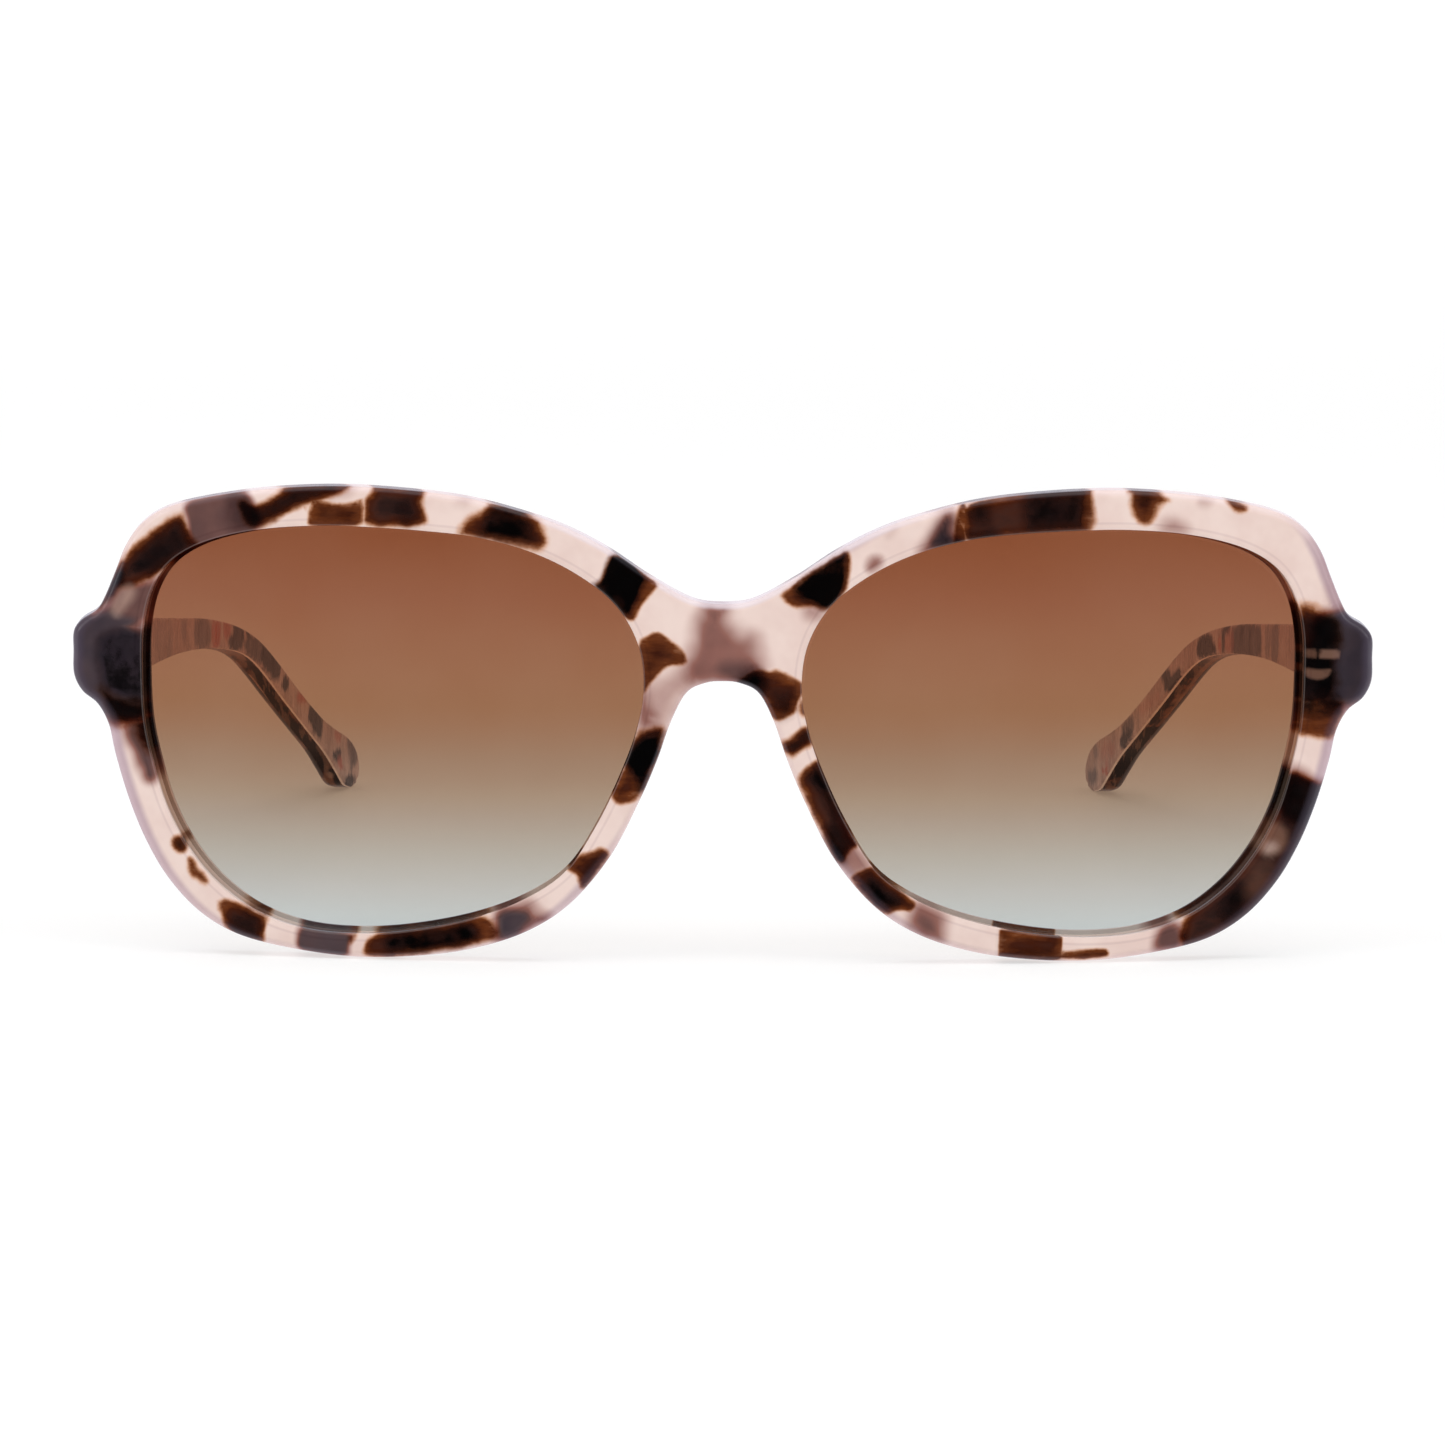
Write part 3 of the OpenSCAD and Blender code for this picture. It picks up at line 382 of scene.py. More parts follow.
def distance(places, starts, ends):
    """Shortest distance of places to the segments, and the nearest segment."""
    shortest, nearest = np.zeros(len(places)), np.zeros(len(places), int)
    along = ends - starts
    length2 = (along ** 2).sum(1) + 1e-12
    for i in range(0, len(places), 3000):       # in blocks, to save memory
        off = places[i:i + 3000, None, :] - starts
        t = np.clip((off * along).sum(-1) / length2, 0, 1)
        gap2 = ((off - t[..., None] * along) ** 2).sum(-1)
        nearest[i:i + 3000] = gap2.argmin(1)
        shortest[i:i + 3000] = np.sqrt(gap2.min(1))
    return shortest, nearest


def loop_distance(places, loop):
    return distance(places, loop, np.roll(loop, -1, 0))


def inside(places, loop):
    result = np.zeros(len(places), bool)
    x, y = places[:, 0], places[:, 1]
    for a, b in zip(loop, np.roll(loop, -1, 0)):
        hit = (a[1] > y) != (b[1] > y)
        if hit.any():
            crossing = a[0] + (y - a[1]) / (b[1] - a[1] + 1e-15) * (b[0] - a[0])
            result ^= hit & (x < crossing)
    return result


def step(start, end, x):
    """Smooth rise from 0 at start to 1 at end."""
    t = np.clip((x - start) / (end - start), 0, 1)
    return t * t * (3 - 2 * t)


def rounding(gap, radius):
    """How far a surface falls back at a gap from an edge rounded to the radius."""
    q = np.clip(radius - gap, 0, radius)
    return radius - np.sqrt(np.maximum(radius * radius - q * q, 0))


def soft_loop(corners):
    """The polygon with its corners cut twice."""
    p = np.array(corners, float)
    for _ in range(2):
        q = np.roll(p, -1, 0)
        p = np.column_stack([0.78 * p + 0.22 * q, 0.22 * p + 0.78 * q]).reshape(-1, 2)
    return p


def flake_fields(places, tables, far=9.0):
    """For each table of flakes, three fields: signed distance over softness, true signed
    distance ("_t") and strength ("_k"). A later flake takes over from an earlier one."""
    fields = {}
    for key, table in tables.items():
        scaled, true = np.full(len(places), far), np.full(len(places), far)
        weighted, weights = np.zeros(len(places)), np.zeros(len(places)) + 1e-9
        covers = []
        for strength, softness, corners in table:
            low, high = np.min(corners, 0) - far, np.max(corners, 0) + far
            near = np.where(((places > low) & (places < high)).all(1))[0]
            if len(near) == 0:
                continue
            loop = soft_loop(corners)
            gap = loop_distance(places[near], loop)[0]
            gap = np.where(inside(places[near], loop), -gap, gap)
            scaled[near] = np.minimum(scaled[near], gap / softness)
            true[near] = np.minimum(true[near], gap)
            weight = np.exp(-np.clip(gap, -2, 9) / 0.5)
            weighted[near] += weight * strength
            weights[near] += weight
            covers.append((near, step(0.25, -0.25, gap / softness), strength))
        blend = weighted / weights
        for near, cover, strength in covers:
            blend[near] += (strength - blend[near]) * cover
        fields.update({key: scaled, key + "_t": true, key + "_k": blend})
    return fields


def fill(loops, depths, grid, keep):
    """Triangulates the region where keep(places) holds: loops are its edges, with rows of points
    at the depths from each edge and an even grid between. Returns the points, the triangles
    and the point numbers of each loop."""
    index, start = [], 0
    for loop in loops:
        index.append(np.arange(start, start + len(loop)))
        start += len(loop)
    edges = [pair for ids in index for pair in zip(ids.tolist(), np.roll(ids, -1).tolist())]

    def edge_gap(places):
        return np.min([loop_distance(places, loop)[0] for loop in loops], 0)

    rows = []
    for loop in loops:
        normals = loop_normals(loop)
        for depth in depths:
            for way in (-1, 1):
                row = loop + way * normals * depth
                row = row[keep(row)]
                rows.append(row[edge_gap(row) > depth * 0.985])
    low = np.min([loop.min(0) for loop in loops], 0)
    high = np.max([loop.max(0) for loop in loops], 0)
    xs = np.arange(low[0], high[0], grid)
    ys = np.arange(low[1], high[1], grid * 0.866)
    even = np.array([(x + (0.5 * grid if j % 2 else 0), y) for j, y in enumerate(ys) for x in xs])
    even = even[keep(even)]
    rows.append(even[edge_gap(even) > depths[-1] + 0.45 * grid])

    corners, _, faces, origins, _, _ = delaunay_2d_cdt(
        [Vector(p) for p in np.vstack(loops + rows)], edges, [], 0, 1e-6, True)
    plan = np.array([(p[0], p[1]) for p in corners])
    tris = np.array([face for face in faces if len(face) == 3])
    tris = tris[keep(plan[tris].mean(1))]
    now = {k: i for i, ids in enumerate(origins) for k in ids}
    used = np.zeros(len(plan), bool)
    used[tris.ravel()] = True
    renumber = np.cumsum(used) - 1
    a, b, c = plan[tris[:, 0]], plan[tris[:, 1]], plan[tris[:, 2]]
    cross = (b - a)[:, 0] * (c - a)[:, 1] - (b - a)[:, 1] * (c - a)[:, 0]
    tris[cross < 0] = tris[cross < 0][:, ::-1]
    return plan[used], renumber[tris], [renumber[np.array([now[k] for k in ids])] for ids in index]


def band(a, b, flip=False):
    """Quads between two rings of point numbers; flip turns them over."""
    n = len(a)
    quads = [(a[i], a[(i + 1) % n], b[(i + 1) % n], b[i]) for i in range(n)]
    return [(q[0], q[3], q[2], q[1]) for q in quads] if flip else quads


def mesh(name, verts, faces, fields=None):
    """An object from millimetre points, with smooth faces facing out."""
    verts = np.array(verts, float)
    verts[:, 1] -= ORIGIN_Y
    verts *= 0.001
    data = bpy.data.meshes.new(name)
    data.from_pydata(verts.tolist(), [], [list(map(int, face)) for face in faces])
    bm = bmesh.new()
    bm.from_mesh(data)
    bmesh.ops.recalc_face_normals(bm, faces=bm.faces)
    bm.to_mesh(data)
    bm.free()
    for key, values in (fields or {}).items():
        attribute = data.attributes.new(key, "FLOAT", "POINT")
        attribute.data.foreach_set("value", np.asarray(values, np.float32))
    data.polygons.foreach_set("use_smooth", [True] * len(data.polygons))
    piece = bpy.data.objects.new(name, data)
    bpy.context.scene.collection.objects.link(piece)
    return piece


# ---------------------------------------------------------------- surfaces and openings
def lug_share(x, z, outward, foot, head):
    """1 on the lugs behind the outer ends of the front, 0 away from them."""
    return step(*outward, np.abs(x)) * step(*foot, z) * step(*head, z)


def front_y(x):
    return FRONT_RADIUS - np.sqrt(FRONT_RADIUS ** 2 - x ** 2)


def rear_y(x, z):
    """Rear surface, with lugs reaching back to the joint."""
    y = FRONT_RADIUS - np.sqrt((FRONT_RADIUS - FRONT_THICK) ** 2 - x ** 2)
    return y + (JOINT_Y - 0.03 - y) * lug_share(x, z, (64.2, 65.2), (27.5, 28.3), (37.9, 37.1))


def lens_world(side, uz, depth):
    """Lens frame (u outward, height z, depth back along the lens axis) to the front's frame."""
    u = uz[:, 0]
    return np.column_stack([side * (LENS_X + u * COS - depth * SIN),
                            LENS_Y + u * SIN + depth * COS, uz[:, 1]])


def lens_depth(uz, radius):
    return SPHERE_Y - np.sqrt(radius ** 2 - uz[:, 0] ** 2 - (uz[:, 1] - DATUM + SPHERE_DROP) ** 2)


def wall_depth(uz, surface, depth):
    """Depth along the lens axis where a wall meets surface(x, z), from a first guess."""
    u = uz[:, 0]
    for _ in range(6):
        x = LENS_X + u * COS - depth * SIN
        depth = (surface(x, uz[:, 1]) - LENS_Y - u * SIN) / COS
    return depth


def front_loop(knots):
    loop = resample(spline(knots, 16), 0.42)
    loop[:, 1] += DATUM
    return loop


outline = front_loop(HALF_OUTLINE + [BRIDGE_FOOT] + [(-x, z) for x, z in reversed(HALF_OUTLINE[1:])])
opening = front_loop(OPENING)
opening_uz = np.column_stack([(opening[:, 0] - LENS_X) / COS, opening[:, 1]])
opening_out = loop_normals(opening_uz)
ledge_uz = opening_uz - LEDGE * opening_out
lip_depth = wall_depth(opening_uz, lambda x, z: front_y(x), 0.0)
lips = {side: lens_world(side, opening_uz, lip_depth)[:, [0, 2]] for side in SIDES}


# ---------------------------------------------------------------- the front
FRONT_ROUND, REAR_ROUND, LUG_ROUND, REAR_LIP_ROUND = 0.8, 0.8, 0.3, 0.3
FRONT_ROWS = [0.05, 0.14, 0.27, 0.43, 0.62, 0.85, 1.15, 1.5]
GROOVE_DEPTH, GROOVE_PLAY = 0.55, 0.03      # groove that holds the lens


def in_front(places):
    return inside(places, outline) & ~inside(places, lips[1]) & ~inside(places, lips[-1])


def rear_shift(plan, rim_gap, lip_gap, nearest):
    """Sideways move of the points from front to rear: none at the outline, along the lens axis
    and onto the ledge at the openings."""
    weight = {side: 1 / (lip_gap[side] + 1e-6) for side in SIDES}
    total = 1 / (rim_gap + 1e-6) + weight[1] + weight[-1]
    depth = wall_depth(ledge_uz, rear_y, 4.0)
    shift = np.zeros((len(plan), 2))
    for side in SIDES:
        move = lens_world(side, ledge_uz, depth)[:, [0, 2]] - lips[side]
        shift += move[nearest[side]] * (weight[side] / total)[:, None]
    return shift


def opening_rings():
    """Rings down an opening's wall and around its groove: uz, depth, share of the thickness."""
    front = lens_depth(opening_uz, LENS_FRONT) - GROOVE_PLAY
    rear = lens_depth(opening_uz, LENS_REAR) + GROOVE_PLAY
    start = lip_depth + BEVEL_DEPTH / COS
    groove = opening_uz + GROOVE_DEPTH * opening_out
    return [(opening_uz, start + (front - start) * 0.35, 0.1),
            (opening_uz, start + (front - start) * 0.7, 0.2),
            (opening_uz, front - 0.04, 0.3),
            (opening_uz + 0.03 * opening_out, front, 0.32),
            (groove, front, 0.35),
            (groove, rear, 0.5),
            (ledge_uz + 0.03 * opening_out, rear, 0.55),
            (ledge_uz, rear + 0.05, 0.56)]


def front_fields(plan, deep, rim, lip):
    x, height = plan[:, 0], plan[:, 1] - DATUM
    out = loop_normals(outline)[loop_distance(plan, outline)[1]]
    # these two masks weight the painted shade and sheen on the sideways-facing edges and the painted
    # highlight along the top crest
    flank_shade = np.abs(out[:, 0]) * step(9.0, 16.0, np.abs(x))
    flank_shade *= np.where(x > 0, step(23.5, 18.5, height), step(20.0, 10.0, height))
    crest_highlight = np.clip(out[:, 1], 0, 1) * (0.25 + 0.75 * step(26.0, 15.0, np.abs(x)))
    # the flakes lean sideways and down through the thickness
    at = np.column_stack([x + 0.5 * deep, height - 0.35 * deep])
    return {"flank_shade": flank_shade, "crest_highlight": crest_highlight, "top": np.clip(out[:, 1] * 1.4, 0, 1), "rim": rim,
            "lipd": lip, "deep": deep, **flake_fields(at, FRONT_FLAKES)}


def build_front():
    plan, tris, (rim_ids, *opening_ids) = fill([outline, lips[1], lips[-1]], FRONT_ROWS, 0.62,
                                               in_front)
    n = len(plan)
    rim_gap = loop_distance(plan, outline)[0]
    lip_gap, nearest = {}, {}
    for side in SIDES:
        lip_gap[side], nearest[side] = loop_distance(plan, lips[side])
    lip = np.minimum(lip_gap[1], lip_gap[-1])

    chamfer = np.clip(1 - lip / BEVEL_WIDTH, 0, 1)
    y = front_y(plan[:, 0]) + rounding(rim_gap, FRONT_ROUND) + BEVEL_DEPTH * chamfer
    front = np.column_stack([plan[:, 0], y, plan[:, 1]])
    back = plan + rear_shift(plan, rim_gap, lip_gap, nearest)
    lug = lug_share(plan[:, 0], plan[:, 1], (64.0, 66.5), (27.0, 28.5), (38.4, 37.0))
    radius = REAR_ROUND - (REAR_ROUND - LUG_ROUND) * lug
    y = rear_y(back[:, 0], back[:, 1]) - rounding(rim_gap, radius) - rounding(lip, REAR_LIP_ROUND)
    rear = np.column_stack([back[:, 0], y, back[:, 1]])

    blocks = []      # rows of x, y, z, plan x, plan z, share of thickness, rim gap, lip gap

    def add(xyz, at, deep, rim, lip):
        start = sum(map(len, blocks))
        extra = np.broadcast_arrays(deep, rim, lip, xyz[:, 0])[:3]
        blocks.append(np.column_stack([xyz, at, *extra]))
        return np.arange(start, start + len(xyz))

    add(front, plan, 0.0, rim_gap, lip)
    add(rear, plan, 1.0, rim_gap, lip + 3)
    faces = [tuple(tri) for tri in tris] + [tuple(tri[::-1] + n) for tri in tris]

    last = rim_ids
    for share in (0.12, 0.3, 0.5, 0.7, 0.88):
        xyz = front[rim_ids] + (rear[rim_ids] - front[rim_ids]) * share
        ring = add(xyz, plan[rim_ids], share, 0.0, lip[rim_ids])
        faces += band(last, ring)
        last = ring
    faces += band(last, rim_ids + n)

    for side, ids in zip(SIDES, opening_ids):
        last = ids
        for uz, depth, deep in opening_rings():
            wall = lens_world(side, uz, depth)
            ring = add(wall, plan[ids], deep, rim_gap[ids], 0.0)
            faces += band(last, ring)
            last = ring
        for share in (0.35, 0.75):
            ring = add(wall + (rear[ids] - wall) * share, plan[ids], 0.6 + 0.35 * share,
                       rim_gap[ids], 0.0)
            faces += band(last, ring)
            last = ring
        faces += band(last, ids + n)

    rows = np.vstack(blocks)
    fields = front_fields(rows[:, 3:5], rows[:, 5], rows[:, 6], rows[:, 7])
    return mesh("acetate_front", rows[:, :3], faces, fields)


# ---------------------------------------------------------------- lenses
LENS_RINGS = 26


def build_lens(side):
    """Two spherical faces of rings around a centre, joined at the rim."""
    rim = opening_uz + 0.5 * opening_out
    centre = np.array([0.3, DATUM - SPHERE_DROP])
    n = len(rim)
    shape = np.vstack([centre] + [centre + (rim - centre) * (k / LENS_RINGS)
                                  for k in range(1, LENS_RINGS + 1)])
    verts, faces, rims = [], [], []
    for face, radius in enumerate((LENS_FRONT, LENS_REAR)):
        verts.append(lens_world(side, shape, lens_depth(shape, radius)))
        base = face * len(shape)
        faces += [(base, base + 1 + i, base + 1 + (i + 1) % n) for i in range(n)]
        rings = [base + 1 + k * n + np.arange(n) for k in range(LENS_RINGS)]
        for inner, outer in zip(rings, rings[1:]):
            faces += band(inner, outer, flip=True)
        rims.append(rings[-1])
    faces += band(*rims, flip=True)
    return mesh("lens_piece_" + SIDES[side], np.vstack(verts), faces)


# ---------------------------------------------------------------- temples, in three glued layers
TEMPLE_FLAKES_END = 148
butt_y, butt_top = TEMPLE_TOP[0]
top_curve = spline(TEMPLE_TOP, 12, False)
low_curve = spline(TEMPLE_LOW, 12, False)
butt_z = np.linspace(TEMPLE_LOW[-1][1], butt_top, 14)[1:-1]
long_edge = np.vstack([resample(top_curve, 0.6, False), resample(low_curve, 0.6, False)[1:]])
temple_loop = np.vstack([long_edge, np.column_stack([np.full(12, butt_y), butt_z])])
temple_plan, temple_tris, (temple_rim,) = fill(
    [temple_loop], [0.06, 0.16, 0.3, 0.48, 0.7, 0.95], 0.8, lambda places: inside(places, temple_loop))
temple_gap = distance(temple_plan, long_edge[:-1], long_edge[1:])[0]
temple_run = temple_plan[:, 0] - butt_y
# inner face, closing in and then curving in toward the tip, and thickness
inner_x = 68.3 - 0.094 * temple_run - 0.00072 * np.maximum(temple_run - 20, 0) ** 2
temple_thick = 3.9 - 0.005 * temple_run


def temple_layer(name, side, start_x, end_x, tables, across=(0.33, 0.67)):
    """A sheet of the temple between two distances from the middle; across places the rings of
    points around its edge, and tables holds its flakes."""
    n = len(temple_plan)
    start = np.column_stack([side * start_x, temple_plan])
    end = np.column_stack([side * end_x, temple_plan])
    verts, places, gaps = [start, end], [temple_plan] * 2, [temple_gap] * 2
    faces = [tuple(tri) for tri in temple_tris] + [tuple(tri[::-1] + n) for tri in temple_tris]
    last, count = temple_rim, 2 * n
    for share in across:
        xyz = start[temple_rim] + (end[temple_rim] - start[temple_rim]) * share
        ring = np.arange(count, count + len(temple_rim))
        verts.append(xyz)
        places.append(np.column_stack([temple_plan[temple_rim, 0],
                                       EDGE_SHIFT + side * xyz[:, 0] - inner_x[temple_rim]]))
        gaps.append(temple_gap[temple_rim])
        faces += band(last, ring)
        last, count = ring, count + len(temple_rim)
    faces += band(last, temple_rim + n)
    looks_down = np.where(loop_normals(temple_loop)[:, 1] < 0, 1.0, 0.0)
    fields = {"edge": np.concatenate(gaps),
              "under": np.concatenate([np.zeros(2 * n)] + [looks_down] * len(across)),
              **flake_fields(np.vstack(places), tables)}
    return mesh(name, np.vstack(verts), faces, fields)


def middle_z(y):
    tip = np.argmax(top_curve[:, 0])
    top = np.interp(y, top_curve[:tip, 0], top_curve[:tip, 1])
    return 0.5 * (top + np.interp(y, low_curve[::-1, 0], low_curve[::-1, 1]))


def random_flakes(seed, start, size, gap, lean):
    """Irregular flakes along a temple, one after the other, sized and leaning at random."""
    rng = np.random.default_rng(seed)
    polygons, y = [], start
    while y < TEMPLE_FLAKES_END:
        length = size * rng.uniform(0.6, 1.5)
        half_height = rng.uniform(2.2, 5.2)
        z = middle_z(y + length / 2) + rng.uniform(-2.2, 2.2)
        slant = lean * rng.uniform(0.3, 1.4)
        corners = []
        for angle in np.linspace(0, 2 * np.pi, 10)[:-1]:
            reach = rng.uniform(0.78, 1.15)
            dy, dz = np.cos(angle) * length / 2 * reach, np.sin(angle) * half_height * reach
            corners.append((y + length / 2 + dy + slant * dz, z + dz))
        polygons.append(corners)
        y += length * rng.uniform(0.75, 1.0) + gap * rng.uniform(0.2, 1.6)
    return polygons


def core_of(flake):
    """The flake shrunk toward its middle, and moved a little forward and up."""
    mid_y, mid_z = np.mean(flake, 0)
    return [(y * 0.84 + mid_y * 0.16 - 0.8, z * 0.72 + mid_z * 0.28 + 0.3) for y, z in flake]


def build_temple(side):
    """Tortoise outside, cream liner and printed sheet inside."""
    word = SIDES[side]
    brown = random_flakes(seed=11 + side, start=11, size=13, gap=2.4, lean=0.5)
    veil = random_flakes(seed=31 + side, start=17, size=9, gap=11, lean=-0.6)
    tables = {"brown": [(0.8, 1.6, flake) for flake in brown] + UNDER_DARK[side],
              "dark": [(1.0, 2.5, core_of(flake)) for flake in brown] + UNDER_DARK[side],
              "veil": [(0.8, 2.5, flake) for flake in veil], "pale": UNDER_LIGHT[side]}
    return (
        temple_layer("temple_tortoise_" + word, side, inner_x + 0.602,
                     inner_x + temple_thick - rounding(temple_gap, 1.0), tables,
                     across=np.arange(0.02, 0.99, 0.096)),
        temple_layer("temple_cream_" + word, side, inner_x + 0.3, inner_x + 0.6, {}),
        temple_layer("temple_paper_" + word, side, inner_x + 0.03 + rounding(temple_gap, 0.22),
                     inner_x + 0.298, {"dab": DABS[side], "red": REDS[side]}))


# ---------------------------------------------------------------- nose pads
# centre line of a pad: height from the datum, x
PAD_LINE = np.array(points("-14.6,13.9 -13,13 -9,10.95 -5,9.2 -1.2,7.95 1.2,7.4 3,6.9"))
PAD_MIDDLE, PAD_HALF = -5.9, 8.3       # height of its middle, and half its length
PAD_Y = 5.55
PAD_ROWS, PAD_COLUMNS = 56, 64
PAD_FLAKES = {
    "brown": flakes("foot: 0.3 2: -14,-16 -12,-16 -9,-9 -12,-8"),
    "dark": [],
    "veil": flakes("middle: 0.4 3: 5,-2 9,-3 11,-8 8,-9"),
    "pale": [],
}


def build_pad(side):
    """A rounded drop along the centre line, let into the front's rear surface."""
    def line_point(height):
        return (np.interp(height, *PAD_LINE.T), PAD_Y, DATUM + height)

    verts = [line_point(PAD_MIDDLE + PAD_HALF)]
    for i in range(1, PAD_ROWS):
        t = -math.cos(math.pi * i / PAD_ROWS)                  # -1 at the top, 1 at the foot
        x, y, z = line_point(PAD_MIDDLE - PAD_HALF * t)
        width = math.sqrt(1 - t * t) ** 0.75
        back = (3.6 + 0.5 * (1 - t * t)) * width
        for j in range(PAD_COLUMNS):
            angle = 2 * math.pi * j / PAD_COLUMNS
            dy = back * math.sin(angle)
            dx = 1.28 * width * math.cos(angle) + 0.13 * max(dy, 0)
            verts.append((x + dx, y + dy + 0.1 * dx, z - 0.35 * dx))
    verts.append(line_point(PAD_MIDDLE - PAD_HALF))
    verts = np.array(verts)
    verts[:, 1] = np.maximum(verts[:, 1], rear_y(verts[:, 0], verts[:, 2]) - 0.15)
    verts[:, 0] *= side

    n, foot = PAD_COLUMNS, len(verts) - 1
    rings = [1 + i * n + np.arange(n) for i in range(PAD_ROWS - 1)]
    faces = []
    for j in range(n):
        faces.append((0, rings[0][j], rings[0][(j + 1) % n]))
        faces.append((foot, rings[-1][(j + 1) % n], rings[-1][j]))
    for upper, lower in zip(rings, rings[1:]):
        faces += band(upper, lower, flip=True)
    at = np.column_stack([verts[:, 0], verts[:, 2] - DATUM])
    fields = {key: np.full(len(verts), value)
              for key, value in (("flank_shade", 0.0), ("rim", 3.0), ("lipd", 3.0), ("deep", 0.0))}
    return mesh("nose_piece_" + SIDES[side], verts, faces, {**fields, **flake_fields(at, PAD_FLAKES)})


front = build_front()
lenses = {side: build_lens(side) for side in SIDES}
temples = {side: build_temple(side) for side in SIDES}
pads = {side: build_pad(side) for side in SIDES}


# ---------------------------------------------------------------- materials
def lin(*rgb):
    """Linear colour from 0-255 sRGB."""
    return tuple((c / 255 / 12.92 if c / 255 <= 0.04045 else ((c / 255 + 0.055) / 1.055) ** 2.4)
                 for c in rgb) + (1.0,)


class Graph:
    """Node tree of a material or world, written as plain calls. Inputs are values or sockets."""

    def __init__(self, block, kind="Material"):
        self.block = block
        block.use_nodes = True
        self.tree = block.node_tree
        self.tree.nodes.clear()
        self.out = self.node("Output" + kind)

    def put(self, socket, value):
        if isinstance(value, bpy.types.NodeSocket):
            self.tree.links.new(value, socket)
        elif value is not None:
            socket.default_value = value

    def node(self, kind, inputs=None, **props):
        node = self.tree.nodes.new("ShaderNode" + kind)
        for key, value in props.items():
            setattr(node, key, value)
        for key, value in (inputs or {}).items():
            self.put(node.inputs[key], value)
        return node

    def math(self, operation, a, b=None, clamp=False):
        return self.node("Math", {0: a, 1: b}, operation=operation, use_clamp=clamp).outputs[0]

    def add(self, a, b):
        return self.math("ADD", a, b)

    def mul(self, a, b, clamp=False):
        return self.math("MULTIPLY", a, b, clamp)

    def swing(self, x, amount):
        """A 0-1 value turned into a swing about zero."""
        return self.mul(self.add(x, -0.5), amount)

    def span(self, x, start, end, low=0.0, high=1.0, kind="SMOOTHSTEP"):
        return self.node("MapRange", {0: x, 1: start, 2: end, 3: low, 4: high},
                         interpolation_type=kind).outputs[0]

    def line(self, x, centre, outer, inner):
        """1 on a line at x = centre, falling to 0 at outer from it."""
        return self.span(self.math("ABSOLUTE", self.add(x, -centre)), outer, inner)

    def mix(self, share, a, b, how="MIX"):
        return self.node("Mix", {0: share, 6: a, 7: b}, data_type="RGBA", blend_type=how,
                         clamp_factor=True).outputs[2]

    def tint(self, a, b):
        return self.mix(1.0, a, b, "MULTIPLY")

    def mix_value(self, share, a, b):
        return self.node("Mix", {0: share, 2: a, 3: b}, data_type="FLOAT").outputs[0]

    def ramp(self, x, stops):
        """Colour ramp from a table of position: linear colour."""
        node = self.node("ValToRGB", {0: x})
        elements = node.color_ramp.elements
        while len(elements) < len(stops):
            elements.new(0.5)
        for i, position in enumerate(stops):
            elements[i].position = position
        for i, colour in enumerate(stops.values()):
            elements[i].color = tuple(colour) + (1.0,)
        return node.outputs[0]

    def attr(self, name):
        return self.node("Attribute", attribute_name=name).outputs["Fac"]

    def flake(self, key, wobble, share, softness):
        """1 inside the flakes of a kind, with a wobbling soft edge."""
        edge = self.add(self.attr(key), self.mul(wobble, share))
        return self.span(edge, softness, -softness)

    def mapping(self, vector, scale, turn=(0, 0, 0)):
        return self.node("Mapping", {"Vector": vector, "Scale": scale, "Rotation": turn}).outputs[0]

    def where(self, scale=(1000, 1000, 1000)):
        """Place on the object, in millimetres at the default scale."""
        return self.mapping(self.node("TexCoord").outputs["Object"], scale)

    def noise(self, at, scale, detail=2.0, rough=0.5, warp=0.0):
        return self.node("TexNoise", {"Vector": at, "Scale": scale, "Detail": detail,
                                      "Roughness": rough, "Distortion": warp}).outputs["Fac"]

    def bump(self, height, strength, distance, normal=None):
        return self.node("Bump", {"Strength": strength, "Distance": distance, "Height": height,
                                  "Normal": normal}).outputs[0]

    def principled(self, inputs):
        return self.finish(self.node("BsdfPrincipled", inputs).outputs[0])

    def finish(self, shader):
        self.put(self.out.inputs["Surface"], shader)
        return self.block


def material(name):
    return Graph(bpy.data.materials.new(name))


WHITE = (1, 1, 1)
# Multipliers over the ground, by strength of the veil, the stain and the black core.
VEIL_FILM = {0: WHITE, 0.25: (0.70, 0.60, 0.59), 0.55: (0.34, 0.185, 0.165),
             0.75: (0.150, 0.092, 0.092), 0.88: (0.100, 0.082, 0.098), 1: (0.050, 0.048, 0.070)}
AMBER_STAIN = {0: WHITE, 0.14: (0.84, 0.67, 0.55), 0.30: (0.45, 0.24, 0.13),
               0.44: (0.170, 0.052, 0.013), 0.58: (0.068, 0.016, 0.0045),
               0.76: (0.064, 0.024, 0.016), 0.9: (0.038, 0.018, 0.015), 1: (0.026, 0.014, 0.013)}
BLACK_CORE = {0: WHITE, 0.35: (0.62, 0.57, 0.58), 0.75: (0.34, 0.34, 0.40),
              0.94: (0.07, 0.065, 0.07), 1: (0.012, 0.012, 0.012)}


def underside(m, colour):
    """Greyed lower edge of a temple, with light streaks along it."""
    below = m.attr("under")
    long = m.noise(m.where((1500, 110, 110)), scale=0.9, detail=3, rough=0.6)
    colour = m.mix(m.mul(below, 0.12), colour, lin(92, 72, 68))
    streaks = m.mul(below, m.span(long, start=0.52, end=0.60))
    return m.mix(m.mul(streaks, 0.50), colour, lin(150, 120, 106))


